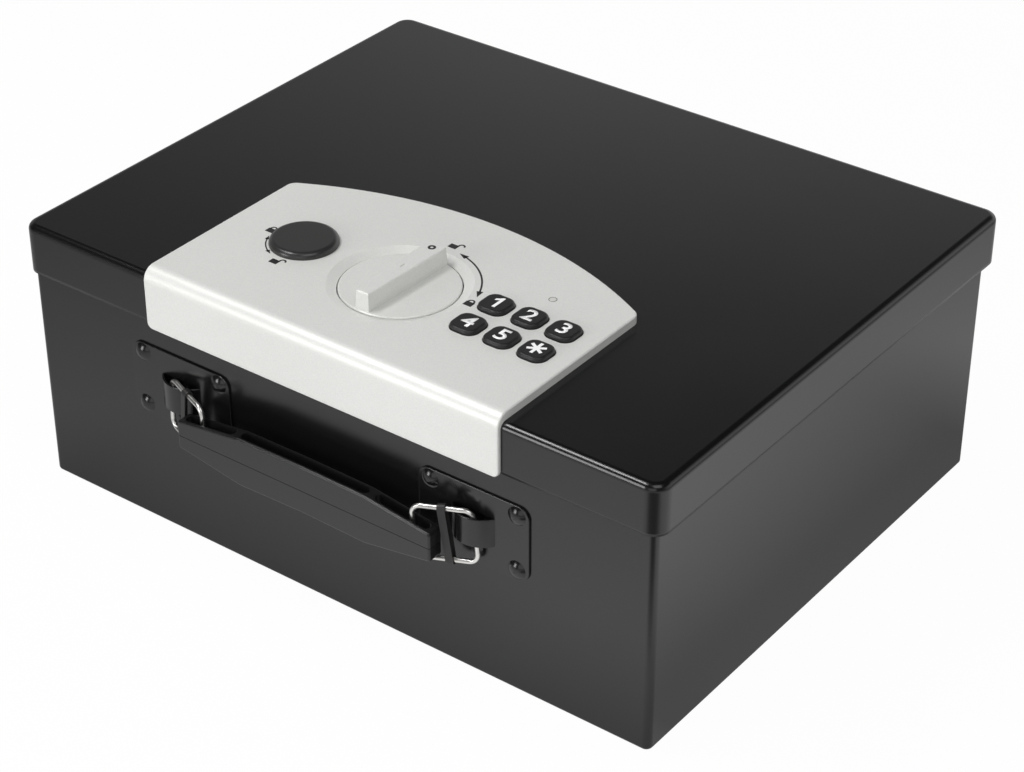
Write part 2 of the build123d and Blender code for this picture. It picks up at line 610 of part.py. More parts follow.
def make_housing():
    """Moulded tub under the lid with latch slots, battery bay, board posts and screw ears."""
    centre_y = (HOUSING_FRONT + CHASSIS_BACK) / 2
    depth = CHASSIS_BACK - HOUSING_FRONT
    width = 2 * HOUSING_HALF_WIDTH
    tub = rounded_prism(0, centre_y, HOUSING_BOTTOM, CHASSIS_BOTTOM, width, depth, 4)
    tub = fillet(tub.faces().sort_by(Axis.Z)[0].edges(), 1.5)
    tub -= rounded_prism(0, centre_y, HOUSING_BOTTOM + HOUSING_WALL, CHASSIS_BOTTOM + 1,
                         width - 2 * HOUSING_WALL, depth - 2 * HOUSING_WALL, 2.4)
    for x, y in boss_places():
        side = math.copysign(1, x)
        inner = x - side * 4.2
        ear = block(min(x, inner), max(x, inner), y - 4, y + 4, CHASSIS_BOTTOM - EAR, CHASSIS_BOTTOM)
        tub += ear + post(x, y, CHASSIS_BOTTOM - EAR, CHASSIS_BOTTOM, 4)
        tub -= post(x, y, CHASSIS_BOTTOM - 4, CHASSIS_BOTTOM + 1, 1.7)
    for side in (-1, 1):
        x = side * NOSE_X
        half = NOSE_WIDTH / 2 + 0.6
        rib = side * 51.75
        tub -= block(x - half, x + half, HOUSING_FRONT - 1, HOUSING_FRONT + 4, LATCH_BOTTOM - 0.7, LATCH_TOP + 0.7)
        tub += block(rib - 0.75, rib + 0.75, DOOR_FRONT, DOOR_BACK, HOUSING_BOTTOM + 1, BAY_TOP)
    bay = block(-53.5, 53.5, DOOR_FRONT + 1.5, DOOR_BACK - 1.5, HOUSING_BOTTOM - 1, HOUSING_BOTTOM + 3)
    tub -= bay & bay_limit()
    tub -= block(-DOOR_HALF_WIDTH - 0.3, DOOR_HALF_WIDTH + 0.3, DOOR_FRONT - 0.3, DOOR_BACK + 0.3,
                 HOUSING_BOTTOM - 1, HOUSING_BOTTOM + 1)
    bay_front = CELL_ROWS[0] - CELL_RADIUS - 0.15
    bay_back = CELL_ROWS[1] + CELL_RADIUS + 0.15
    tub += block(-52.5, 52.5, bay_front - 1.5, bay_front, HOUSING_BOTTOM + 1, BAY_TOP)
    tub += block(-52.5, 52.5, bay_back, CHASSIS_BACK - 1, HOUSING_BOTTOM + 1, BAY_TOP)
    for x, y in board_posts():
        tub += post(x, y, HOUSING_BOTTOM + 1, POST_TOP, 2.6)
    return tub


def bay_limit():
    """Clear width of the battery bay between its end ribs."""
    return block(-51, 51, DOOR_FRONT, DOOR_BACK, HOUSING_BOTTOM - 2, HOUSING_BOTTOM + 4)


def board_posts():
    """Posts that carry the control board."""
    return [(x, y) for x in (58.0, 78.0) for y in (-106.0, -76.0)]


def make_control_board():
    """Main circuit board with its larger components, on four posts."""
    top = POST_TOP + BOARD
    board = block(53, 81, -110, -71, POST_TOP, top)
    board += block(60, 72, -100, -88, top, top + 2.4)
    board += post(58, -78, top, top + 8.4, 3.2)
    board += block(66, 78, -83, -76, top, top + 3.9)
    return board


def make_battery_door():
    """Door of the battery bay with a finger notch."""
    door = block(-DOOR_HALF_WIDTH, DOOR_HALF_WIDTH, DOOR_FRONT, DOOR_BACK, HOUSING_BOTTOM, HOUSING_BOTTOM + 1)
    door = fillet(door.edges().filter_by(Axis.Z), 1.0)
    ribs = [block(x - 0.5, x + 0.5, DOOR_FRONT + 3, DOOR_BACK - 3, HOUSING_BOTTOM + 1, HOUSING_BOTTOM + 2.3)
            for x in (-38.0, -13.0, 13.0, 38.0)]
    for rib in ribs:
        door += rib
    return door - post(0, DOOR_BACK - 1.5, HOUSING_BOTTOM - 1, HOUSING_BOTTOM + 0.5, 4)


def make_cells():
    """Four round cells, two rows of two, nub to foot."""
    cells = []
    middle = HOUSING_BOTTOM + 2.6 + CELL_RADIUS
    for y in CELL_ROWS:
        for start in (-CELL_LENGTH, 0.0):
            body = CELL_LENGTH - 1.2
            can = Pos(start + body / 2, y, middle) * Rot(0, 90, 0) * Cylinder(CELL_RADIUS, body)
            nub = Pos(start + body + 0.6, y, middle) * Rot(0, 90, 0) * Cylinder(2.7, 1.2)
            cells.append(can + nub)
    return Compound(children=cells)


def make_contacts():
    """Contact plates at both ends of each row of cells."""
    plates = []
    for side in (-1, 1):
        for y in CELL_ROWS:
            x0 = min(side * CELL_LENGTH, side * (CELL_LENGTH + 0.5))
            plates.append(block(x0, x0 + 0.5, y - 6, y + 6, HOUSING_BOTTOM + 2.6, HOUSING_BOTTOM + 16))
    return Compound(children=plates)


def make_clamp_screws():
    """Six screws from below through the housing ears and the chassis into the cover's bosses."""
    screws = []
    under = CHASSIS_BOTTOM - EAR
    for x, y in boss_places():
        head = post(x, y, under - 2.2, under, 2.9)
        head = fillet(head.edges().sort_by(Axis.Z)[0], 0.9)
        head -= block(x - 1.6, x + 1.6, y - 0.4, y + 0.4, under - 3, under - 1.2)
        head -= block(x - 0.4, x + 0.4, y - 1.6, y + 1.6, under - 3, under - 1.2)
        screws.append(head + post(x, y, under, COVER_TOP - 1.2, 1.5))
    return Compound(children=screws)


def knuckle_spans(x):
    """Start and end of each hinge knuckle, from left to right."""
    pitch = HINGE_LENGTH / KNUCKLES
    left = x - HINGE_LENGTH / 2
    return [(left + i * pitch + KNUCKLE_GAP / 2, left + (i + 1) * pitch - KNUCKLE_GAP / 2)
            for i in range(KNUCKLES)]


def side_bar(x0, x1, radius):
    """Round bar along the hinge line."""
    return Pos((x0 + x1) / 2, HINGE_Y, HINGE_Z) * Rot(0, 90, 0) * Cylinder(radius, x1 - x0)


def make_body_leaf(x):
    """Leaf welded to the rear wall, with the outer and middle knuckles."""
    half = HINGE_LENGTH / 2
    leaf = block(x - half, x + half, REAR_FACE, REAR_FACE + LEAF, HINGE_Z - 23, HINGE_Z - 3.4)
    leaf = fillet(leaf.edges().filter_by(Axis.Y).group_by(Axis.Z)[0], 3)
    for x0, x1 in knuckle_spans(x)[0::2]:
        leaf += block(x0, x1, REAR_FACE, REAR_FACE + LEAF + 0.4, HINGE_Z - 3.9, HINGE_Z)
        leaf += side_bar(x0, x1, KNUCKLE_RADIUS)
    return leaf - side_bar(x - half - 1, x + half + 1, HINGE_PIN_RADIUS)


def make_lid_leaf(x):
    """Leaf welded inside the lid's rear skirt, with the two knuckles that turn on the pin."""
    half = HINGE_LENGTH / 2
    inner = LID_REAR - SHEET
    leaf = block(x - half, x + half, inner - LEAF, inner, HINGE_Z + 4.1, HINGE_Z + 18.5)
    leaf = fillet(leaf.edges().filter_by(Axis.Y).group_by(Axis.Z)[-1], 3)
    for x0, x1 in knuckle_spans(x)[1::2]:
        leaf += block(x0, x1, inner - LEAF - 0.5, inner - 0.5, HINGE_Z, HINGE_Z + 4.6)
        leaf += side_bar(x0, x1, KNUCKLE_RADIUS)
    return leaf - side_bar(x - half - 1, x + half + 1, HINGE_PIN_RADIUS + PIN_CLEARANCE)


def make_hinge_pin(x):
    """Hinge pin with a peened head at each end."""
    first = knuckle_spans(x)[0][0]
    last = knuckle_spans(x)[-1][1]
    pin = side_bar(first, last, HINGE_PIN_RADIUS)
    pin += side_bar(first - 0.8, first, 1.9)
    pin += side_bar(last, last + 0.8, 1.9)
    return pin


def make_handle_plate(side):
    """Riveted plate with a strap pressed out of it, open above and below for the wire ring."""
    x = side * PLATE_X
    plate = Pos(x, FRONT_FACE, PLATE_Z) * Rot(90, 0, 0) * extrude(
        RectangleRounded(PLATE_WIDTH, PLATE_HEIGHT, PLATE_CORNER), SHEET)
    plate = fillet(plate.faces().sort_by(Axis.Y)[0].edges(), 0.35)
    inner_span = STRAP_HALF_SPAN - SHEET
    window = block(x - inner_span, x + inner_span, PLATE_FRONT - 1, FRONT_FACE + 1,
                   PLATE_Z - STRAP_HEIGHT / 2 - 0.1, PLATE_Z + STRAP_HEIGHT / 2 + 0.1)
    strap = strap_section(x, STRAP_HALF_SPAN, STRAP_DEPTH) - strap_section(x, inner_span, STRAP_DEPTH - SHEET)
    rounded = strap.edges().filter_by(lambda e: e.center().Y < PLATE_FRONT - STRAP_DEPTH + 1.5)
    strap = fillet(rounded, 0.3)
    plate = plate - window + strap
    for i in (-0.5, 0.5):
        for k in (-0.5, 0.5):
            plate -= front_bar(x + i * RIVET_SPAN_X, PLATE_Z + k * RIVET_SPAN_Z, PLATE_FRONT - 1, FRONT_FACE + 1, 2.0)
    return plate


def strap_section(x, half_span, depth):
    """Bow-shaped block that stands out of the plate's front face."""
    root = PLATE_FRONT
    edges = ThreePointArc((x - half_span, root), (x, root - depth), (x + half_span, root))
    edges += Line((x + half_span, root), (x - half_span, root))
    bow = Pos(0, 0, PLATE_Z - STRAP_HEIGHT / 2) * make_face(edges)
    return extrude(bow, STRAP_HEIGHT)


def make_rivets():
    """Eight domed rivets, closed against the inside of the wall."""
    rivets = []
    sphere = (RIVET_RADIUS ** 2 + RIVET_HEIGHT ** 2) / (2 * RIVET_HEIGHT)
    wall = FRONT_FACE + SHEET
    halfway = math.sqrt(sphere ** 2 - RIVET_RADIUS ** 2 / 4) - sphere + RIVET_HEIGHT
    profile = ThreePointArc((0, RIVET_HEIGHT), (RIVET_RADIUS / 2, halfway), (RIVET_RADIUS, 0))
    profile += Polyline((RIVET_RADIUS, 0), (1.95, 0), (1.95, -2 * SHEET), (3.2, -2 * SHEET),
                        (2.6, -2 * SHEET - 1.0), (0, -2 * SHEET - 1.0), (0, RIVET_HEIGHT))
    rivet = revolve(make_face(profile), Axis.Y)
    for x, z in rivet_places():
        rivets.append(Pos(x, PLATE_FRONT, z) * Rot(180, 0, 0) * rivet)
    return Compound(children=rivets)


def ring_frame(side):
    """Place of a wire ring: its own X runs from the strap to the handle, its Z is upright."""
    turn = 180 + RING_SWING if side > 0 else -RING_SWING
    return Pos(side * RING_X, RING_Y, RING_Z) * Rot(0, 0, turn) * Rot(0, RING_DROOP, 0)


def make_ring(side):
    """Round wire bent to a rectangle with rounded corners."""
    middle = Plane.XZ * (Pos(RING_REACH / 2, 0) * RectangleRounded(RING_REACH, RING_HEIGHT, RING_BEND))
    path = middle.face().outer_wire()
    section = Plane(path @ 0, z_dir=path % 0) * Circle(WIRE_RADIUS)
    return ring_frame(side) * sweep(section, path=path)


def make_tie(side):
    """Flat band looped round the ring's upper and lower wire, leaning as it hangs."""
    upper = Vector(13.2, 0, RING_HEIGHT / 2)
    lower = Vector(12.0, 0, -RING_HEIGHT / 2)
    span = (upper - lower).length
    lean = math.degrees(math.atan2(upper.X - lower.X, upper.Z - lower.Z))
    inner = WIRE_RADIUS + 0.18
    outer = inner + TIE_THICKNESS
    band = SlotCenterToCenter(span, 2 * outer) - SlotCenterToCenter(span, 2 * inner)
    loop = extrude(band, TIE_WIDTH / 2, both=True)
    middle = (upper + lower) / 2
    upright = Rot(0, lean, 0) * Rot(0, 90, 0)
    return ring_frame(side) * Pos(middle.X, 0, middle.Z) * upright * loop


def handle_profile():
    """Front view of the handle: deep middle, ends that taper from above and below."""
    shoulder = 34.0
    top = ((0, 78.6), (shoulder, 78.2), (HANDLE_HALF_LENGTH, 73.7))
    bottom = ((HANDLE_HALF_LENGTH, 60.0), (shoulder, 54.4), (0, 55.2))
    right = top + bottom
    left = tuple((-x, z) for x, z in reversed(right[1:-1]))
    outline = make_face(Polyline(*right, *left, close=True))
    return outline


def make_handle_body():
    """Whole handle before it is parted: rounded bar with a long core recess and two ring slots."""
    front = HANDLE_Y - HANDLE_THICKNESS / 2
    back = HANDLE_Y + HANDLE_THICKNESS / 2
    bar = Pos(0, back, 0) * extrude(Plane.XZ * handle_profile(), HANDLE_THICKNESS)
    ends = bar.edges().filter_by(Axis.Y).filter_by(lambda e: abs(e.center().X) > HANDLE_HALF_LENGTH - 1)
    bar = fillet(ends, 1.6)
    faces = bar.faces().filter_by(Plane.XZ).sort_by(Axis.Y)
    bar = fillet(faces[0].edges(), 1.1)
    bar = fillet(bar.faces().filter_by(Plane.XZ).sort_by(Axis.Y)[-1].edges(), 1.1)
    half = HANDLE_SLOT / 2
    for side in (-1, 1):
        x = side * (SLOT_INNER + SLOT_OUTER) / 2
        bar -= rounded_prism(x, HANDLE_Y, 50, 82, SLOT_OUTER - SLOT_INNER, HANDLE_SLOT, half - 0.1)
    bar -= rounded_prism(0, HANDLE_Y, 69.5, 82, 68.5, HANDLE_SLOT, half - 0.1)
    bar -= rounded_prism(0, HANDLE_Y, 50, 63.5, 68.5, HANDLE_SLOT, half - 0.1)
    return bar, front, back


def make_handle_halves():
    """Upper and lower half of the handle, with a fine groove where they meet and two pegs inside."""
    bar, front, back = make_handle_body()
    reach = HANDLE_HALF_LENGTH + 5
    low = HANDLE_PARTING - PARTING_GROOVE / 2
    high = HANDLE_PARTING + PARTING_GROOVE / 2
    groove = block(-reach, reach, front - 1, back + 1, low, high)
    groove -= rounded_prism(0, HANDLE_Y, low - 1, high + 1, 2 * (HANDLE_HALF_LENGTH - PARTING_GROOVE),
                            HANDLE_THICKNESS - 2 * PARTING_GROOVE, 1.4)
    bar -= groove
    upper = bar & block(-reach, reach, front - 1, back + 1, HANDLE_PARTING, 90)
    lower = bar & block(-reach, reach, front - 1, back + 1, 40, HANDLE_PARTING)
    for side in (-1, 1):
        x = side * 36.0
        lower += post(x, HANDLE_Y, HANDLE_PARTING - 1, HANDLE_PARTING + 4, 1.0)
        upper -= post(x, HANDLE_Y, HANDLE_PARTING - 1, HANDLE_PARTING + 4.4, 1.0)
    return upper, lower


def main():
    save("body_shell", make_body_shell())
    save("strike_plate", make_strike_plate())
    save("handle_rivets", make_rivets())
    for side, word in ((-1, "left"), (1, "right")):
        save(f"hinge_{word}_body_leaf", make_body_leaf(side * HINGE_X))
        save(f"hinge_{word}_lid_leaf", make_lid_leaf(side * HINGE_X))
        save(f"hinge_{word}_pin", make_hinge_pin(side * HINGE_X))
        save(f"handle_plate_{word}", make_handle_plate(side))
        save(f"ring_{word}", make_ring(side))
        save(f"ring_tie_{word}", make_tie(side))
    upper, lower = make_handle_halves()
    save("handle_upper_half", upper)
    save("handle_lower_half", lower)
    save("lid_shell", make_lid_shell())
    save("lock_cover", make_lock_cover())
    save("knob", make_knob())
    save("knob_spindle", make_spindle())
    save("spiral_cam", make_cam())
    save("cam_screw", make_cam_screw())
    save("latch_plate", make_latch_plate())
    save("follower_pin", make_follower_pin())
    save("guide_studs", make_guide_studs())
    save("lock_chassis", make_chassis())
    save("solenoid", make_solenoid())
    save("solenoid_plunger", make_plunger())
    save("plunger_spring", make_plunger_spring())
    save("override_barrel", make_lock_barrel())
    save("override_nut", make_lock_nut())
    save("override_plug", make_lock_plug())
    save("override_cap", make_override_cap())
    for row, names in zip(KEY_ROWS, KEY_NAMES):
        for column, name in zip(KEY_COLUMNS, names):
            save(name, make_key(column, row))
    save("key_domes", make_key_domes())
    save("key_board", make_key_board())
    save("board_screws", make_board_screws())
    save("status_light", make_light())
    save("lock_housing", make_housing())
    save("control_board", make_control_board())
    save("battery_door", make_battery_door())
    save("battery_cells", make_cells())
    save("battery_contacts", make_contacts())
    save("clamp_screws", make_clamp_screws())


main()
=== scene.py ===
# %% [markdown]
# # Electronic document case
#
# A steel case for papers, with a flat lid, a silver lock cover and a carrying handle. The CAD frame
# holds every piece at its real size and place. This lesson dresses it: a camera, the finishes, the
# printed marks that are too fine for the CAD, and a studio whose light suits a black satin object.

import bpy
import bmesh
import json
import math
from mathutils import Matrix, Vector


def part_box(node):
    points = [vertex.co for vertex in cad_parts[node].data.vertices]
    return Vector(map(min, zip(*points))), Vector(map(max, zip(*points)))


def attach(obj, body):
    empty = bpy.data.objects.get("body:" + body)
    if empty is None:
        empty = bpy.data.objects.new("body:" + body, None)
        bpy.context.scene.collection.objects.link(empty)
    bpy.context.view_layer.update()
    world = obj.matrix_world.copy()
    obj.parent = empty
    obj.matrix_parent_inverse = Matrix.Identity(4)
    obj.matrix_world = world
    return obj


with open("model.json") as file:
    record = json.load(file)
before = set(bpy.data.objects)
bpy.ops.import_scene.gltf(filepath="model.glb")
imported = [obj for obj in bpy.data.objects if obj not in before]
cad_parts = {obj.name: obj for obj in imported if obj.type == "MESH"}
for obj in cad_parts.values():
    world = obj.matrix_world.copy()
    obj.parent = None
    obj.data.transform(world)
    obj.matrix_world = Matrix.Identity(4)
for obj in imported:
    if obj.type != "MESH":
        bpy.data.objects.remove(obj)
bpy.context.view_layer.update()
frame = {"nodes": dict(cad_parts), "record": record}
nodes = frame["nodes"]
MM = 0.001
print("CAD nodes:", len(nodes))

# %% [markdown]
# ## Camera
#
# The photograph looks down on the near right corner. A camera can be placed by eye, but a case is all
# straight edges, and a small error shows along each of them. So the place, the two angles and the lens
# come from a fit to those edges.

# %% Camera
CAMERA_PLACE = (0.6013, -0.7967, 0.6898)
CAMERA_AZIMUTH = 37.005
CAMERA_ELEVATION = 32.938
CAMERA_LENS = 92.41
SENSOR_WIDTH = 36.0
NEAREST_SEEN = 0.01
FARTHEST_SEEN = 100.0


def add_camera():
    data = bpy.data.cameras.new("camera")
    data.lens = CAMERA_LENS
    data.sensor_width = SENSOR_WIDTH
    data.clip_start = NEAREST_SEEN
    data.clip_end = FARTHEST_SEEN
    camera = bpy.data.objects.new("camera", data)
    camera.location = CAMERA_PLACE
    camera.rotation_euler = (math.radians(90 - CAMERA_ELEVATION), 0, math.radians(CAMERA_AZIMUTH))
    bpy.context.scene.collection.objects.link(camera)
    bpy.context.scene.camera = camera
    return camera


camera = add_camera()
print("camera lens", round(camera.data.lens, 2))

# %% [markdown]
# ## Material tools
#
# A material is a net of nodes. It can be wired by hand in the shader editor, or in code as here, where
# each number has a name and is easy to change. These small helpers add a node, join its sockets or do a
# sum, so that each finish further down reads as a short list of what the real surface does.


# %% Node helpers
def add_node(tree, kind, **settings):
    """Adds one node. A setting is an input's name, or a property of the node itself."""
    node = tree.nodes.new(kind)
    for key, value in settings.items():
        if hasattr(node, key):
            setattr(node, key, value)
        else:
            node.inputs[key.replace("_", " ")].default_value = value
    return node


def join(tree, source, target):
    tree.links.new(source, target)


def fill_inputs(tree, node, values):
    """Gives a node its first inputs. A value is a number, a place or another node's output."""
    for socket, value in zip(node.inputs, values):
        if isinstance(value, bpy.types.NodeSocket):
            join(tree, value, socket)
        else:
            socket.default_value = value


def calculate(tree, operation, *values, **settings):
    """Result of one sum with numbers."""
    node = add_node(tree, "ShaderNodeMath", operation=operation, **settings)
    fill_inputs(tree, node, values)
    return node.outputs[0]


def ramp(tree, value, start, end, at_start, at_end, **settings):
    """Runs from one result to another while the value goes from start to end."""
    node = add_node(tree, "ShaderNodeMapRange", **settings)
    fill_inputs(tree, node, (value, start, end, at_start, at_end))
    return node.outputs["Result"]


def noise(tree, place, **settings):
    """Cloudy value, read at a place on the piece."""
    node = add_node(tree, "ShaderNodeTexNoise", **settings)
    join(tree, place, node.inputs["Vector"])
    return node.outputs["Fac"]


print("node helpers are ready")


# %% Groups and materials
def new_group(name, inputs, outputs):
    """Empty shader group with float sockets. Returns its tree, its input node and its output node."""
    tree = bpy.data.node_groups.new(name, "ShaderNodeTree")
    for socket, default in inputs.items():
        kind = "NodeSocketVector" if default is None else "NodeSocketFloat"
        made = tree.interface.new_socket(socket, in_out="INPUT", socket_type=kind)
        if default is not None:
            made.default_value = default
    for socket in outputs:
        tree.interface.new_socket(socket, in_out="OUTPUT", socket_type="NodeSocketFloat")
    return tree, tree.nodes.new("NodeGroupInput"), tree.nodes.new("NodeGroupOutput")


def new_material(name, colour, roughness, metallic=0.0):
    """Material with a Principled shader set to plain values, ready for its own nodes."""
    material = bpy.data.materials.new(name)
    material.use_nodes = True
    tree = material.node_tree
    shader = tree.nodes["Principled BSDF"]
    shader.inputs["Base Color"].default_value = (*colour, 1)
    shader.inputs["Roughness"].default_value = roughness
    shader.inputs["Metallic"].default_value = metallic
    return material, tree, shader


print("groups and materials can be made")

# %% [markdown]
# ## Shared surface effects
#
# Powder coat, moulded plastic, lacquer and drawn steel differ in their smallest relief. Pictures could
# show it, but noise at the real scale has no seams and stays sharp at any distance. Each effect is a
# group that is built once. It reads a place on the piece and gives a height for the bump, and a tone
# that runs about zero and nudges colour and roughness. A scale is about the number of waves in a metre.
#
# A powder coat melts in an oven and sets with shallow waves, the orange peel, and a finer grit. One
# noise could give the waves alone, so two are added, each with an amount of its own.

# %% Effect: orange peel of a powder coat
PEEL_SCALE = 520.0
GRIT_SCALE = 3600.0
COAT_CLOUD_SCALE = 14.0
NOISE_MIDDLE = 0.5


def make_orange_peel():
    tree, given, result = new_group(
        "orange_peel", {"Place": None, "Peel": 1.0, "Grit": 1.0}, ["Height", "Tone"])
    place = given.outputs["Place"]
    peel = noise(tree, place, Scale=PEEL_SCALE, Detail=2.0)
    grit = noise(tree, place, Scale=GRIT_SCALE, Detail=3.0, Roughness=0.6)
    cloud = noise(tree, place, Scale=COAT_CLOUD_SCALE, Detail=4.0)
    soft = calculate(tree, "MULTIPLY", peel, given.outputs["Peel"])
    sharp = calculate(tree, "MULTIPLY", grit, given.outputs["Grit"])
    join(tree, calculate(tree, "ADD", soft, sharp), result.inputs["Height"])
    join(tree, calculate(tree, "SUBTRACT", cloud, NOISE_MIDDLE), result.inputs["Tone"])
    return tree


orange_peel = make_orange_peel()
print("effect:", orange_peel.name)

# %% [markdown]
# A mould for plastic is often grained by sparks, which leave small round pits. Noise alone looks cloudy,
# so soft cells make the pits, and a noise roughens their rims.

# %% Effect: spark-eroded grain of moulded plastic
GRAIN_SOFTNESS = 0.6
PLASTIC_CLOUD_SCALE = 22.0


def make_mould_grain():
    tree, given, result = new_group("mould_grain", {"Place": None, "Size": 2200.0}, ["Height", "Tone"])
    place = given.outputs["Place"]
    cells = add_node(tree, "ShaderNodeTexVoronoi", feature="SMOOTH_F1")
    cells.inputs["Smoothness"].default_value = GRAIN_SOFTNESS
    fine = add_node(tree, "ShaderNodeTexNoise", Detail=4.0, Roughness=0.65)
    for texture in (cells, fine):
        join(tree, given.outputs["Size"], texture.inputs["Scale"])
        join(tree, place, texture.inputs["Vector"])
    pits = calculate(tree, "ADD", cells.outputs["Distance"], fine.outputs["Fac"])
    cloud = noise(tree, place, Scale=PLASTIC_CLOUD_SCALE, Detail=3.0)
    join(tree, pits, result.inputs["Height"])
    join(tree, calculate(tree, "SUBTRACT", cloud, NOISE_MIDDLE), result.inputs["Tone"])
    return tree


mould_grain = make_mould_grain()
print("effect:", mould_grain.name)

# %% [markdown]
# Silver lacquer carries metal flakes that lie at slightly different angles. Noise changes smoothly from
# place to place, while cells give each flake one value of its own, so here cells are used.

# %% Effect: flakes of silver lacquer
LACQUER_CLOUD_SCALE = 9.0


def make_metal_flake():
    tree, given, result = new_group("metal_flake", {"Place": None, "Size": 3400.0}, ["Height", "Tone"])
    place = given.outputs["Place"]
    flakes = add_node(tree, "ShaderNodeTexVoronoi")
    join(tree, given.outputs["Size"], flakes.inputs["Scale"])
    join(tree, place, flakes.inputs["Vector"])
    split = add_node(tree, "ShaderNodeSeparateColor")
    join(tree, flakes.outputs["Color"], split.inputs[0])
    cloud = noise(tree, place, Scale=LACQUER_CLOUD_SCALE, Detail=3.0)
    mix = calculate(tree, "ADD", split.outputs[1], cloud)
    join(tree, split.outputs[0], result.inputs["Height"])
    join(tree, calculate(tree, "SUBTRACT", mix, 2 * NOISE_MIDDLE), result.inputs["Tone"])
    return tree


metal_flake = make_metal_flake()
print("effect:", metal_flake.name)

# %% [markdown]
# Rolled strip and drawn wire have fine lines along the metal. A wave texture could draw lines, but it
# repeats evenly. So a noise is stretched: it has few waves along the lines and many across them.

# %% Effect: fine lines of rolled or drawn steel
LINES_ALONG = 40.0
LINES_ACROSS = 1800.0
STAIN_SCALE = 60.0


def make_drawn_lines():
    tree, given, result = new_group("drawn_lines", {"Place": None}, ["Height", "Tone"])
    place = given.outputs["Place"]
    stretch = add_node(tree, "ShaderNodeMapping")
    stretch.inputs["Scale"].default_value = (LINES_ALONG, LINES_ACROSS, LINES_ACROSS)
    join(tree, place, stretch.inputs["Vector"])
    lines = noise(tree, stretch.outputs["Vector"], Scale=1.0, Detail=3.0)
    stain = noise(tree, place, Scale=STAIN_SCALE, Detail=5.0)
    join(tree, lines, result.inputs["Height"])
    join(tree, calculate(tree, "SUBTRACT", stain, NOISE_MIDDLE), result.inputs["Tone"])
    return tree


drawn_lines = make_drawn_lines()
print("effect:", drawn_lines.name)

# %% [markdown]
# An effect reaches the shader in the same way each time: its height feeds a Bump node, and its tone
# lightens or darkens the colour and shifts the roughness a little. Each material could be wired by
# itself, but one function keeps them alike and short.


# %% Put an effect on a shader
finishes = []


def place_effect(tree, effect, **settings):
    """Group node of an effect, reading the piece's own coordinates."""
    coordinates = add_node(tree, "ShaderNodeTexCoord")
    node = add_node(tree, "ShaderNodeGroup")
    node.node_tree = effect
    for key, value in settings.items():
        node.inputs[key].default_value = value
    join(tree, coordinates.outputs["Object"], node.inputs["Place"])
    return node


def add_bump(tree, shader, height, strength, depth):
    bump = add_node(tree, "ShaderNodeBump", Strength=strength, Distance=depth)
    join(tree, height, bump.inputs["Height"])
    join(tree, bump.outputs["Normal"], shader.inputs["Normal"])


def vary(tree, tone, socket, middle, spread):
    """Feeds a float socket with middle plus tone times spread."""
    join(tree, calculate(tree, "MULTIPLY_ADD", tone, spread, middle, use_clamp=True), socket)


def tint(tree, tone, shader, dark, light):
    """Colour that runs from dark to light as the tone rises through zero."""
    mix = add_node(tree, "ShaderNodeMix", data_type="RGBA")
    mix.inputs["A"].default_value = (*dark, 1)
    mix.inputs["B"].default_value = (*light, 1)
    join(tree, ramp(tree, tone, -NOISE_MIDDLE, NOISE_MIDDLE, 0.0, 1.0), mix.inputs["Factor"])
    join(tree, mix.outputs["Result"], shader.inputs["Base Color"])


def textured(name, effect, dark, light, roughness, spread, strength, depth, metallic=0.0, **settings):
    """Finish made of one effect: two close colours, a roughness that varies, and a bump."""
    material, tree, shader = new_material(name, light, roughness, metallic)
    node = place_effect(tree, effect, **settings)
    tint(tree, node.outputs["Tone"], shader, dark, light)
    vary(tree, node.outputs["Tone"], shader.inputs["Roughness"], roughness, spread)
    add_bump(tree, shader, node.outputs["Height"], strength, depth)
    finishes.append(material)
    return material


print("effects to choose from:", len(bpy.data.node_groups))

# %% [markdown]
# ## Finishes
#
# The case is powder coated: black, satin, with a very fine orange peel. Nearly all that is seen of such
# a coat is what it mirrors, so its colour is close to nothing and its roughness matters most. The
# plates and rivets were painted after the punch, so they are a little smoother, and the rivets glossier.

# %% Black coats
COAT_LOOK = {
    "dark": (0.0040, 0.0040, 0.0043),
    "light": (0.0055, 0.0055, 0.0058),
    "roughness": 0.22,
    "spread": 0.05,
    "strength": 0.18,
    "depth": 0.03 * MM,
    "Peel": 0.7,
    "Grit": 0.3,
}
case_coat = textured("case_powder_coat", orange_peel, **COAT_LOOK)
lid_coat = textured("lid_powder_coat", orange_peel, **COAT_LOOK)
plate_coat = textured(
    "plate_paint", orange_peel, dark=(0.0050, 0.0050, 0.0053), light=(0.0065, 0.0065, 0.0068),
    roughness=0.22, spread=0.05, strength=0.15, depth=0.03 * MM, Peel=0.8, Grit=0.15)
rivet_coat = textured(
    "rivet_paint", orange_peel, dark=(0.0045, 0.0045, 0.0048), light=(0.0060, 0.0060, 0.0062),
    roughness=0.19, spread=0.04, strength=0.08, depth=0.02 * MM, Peel=1.0, Grit=0.1)
print("black coats:", case_coat.name, lid_coat.name, plate_coat.name, rivet_coat.name)

# %% [markdown]
# The lid's lower edge is a cut sheet edge, rolled in a little under its thick coat. It is barely a
# millimetre high, but it draws the dark line that parts the lid from the case. The mesh of a CAD node
# stays as it is, and a strip laid over it would stand out of the wall. So a second bump, which falls
# away over the lowest stretch of the lid, turns the light as the rolled edge would.

# %% Rolled lower edge of the lid
LID_EDGE_HEIGHT = 1.3 * MM
LID_EDGE_ROLL = 1.2 * MM


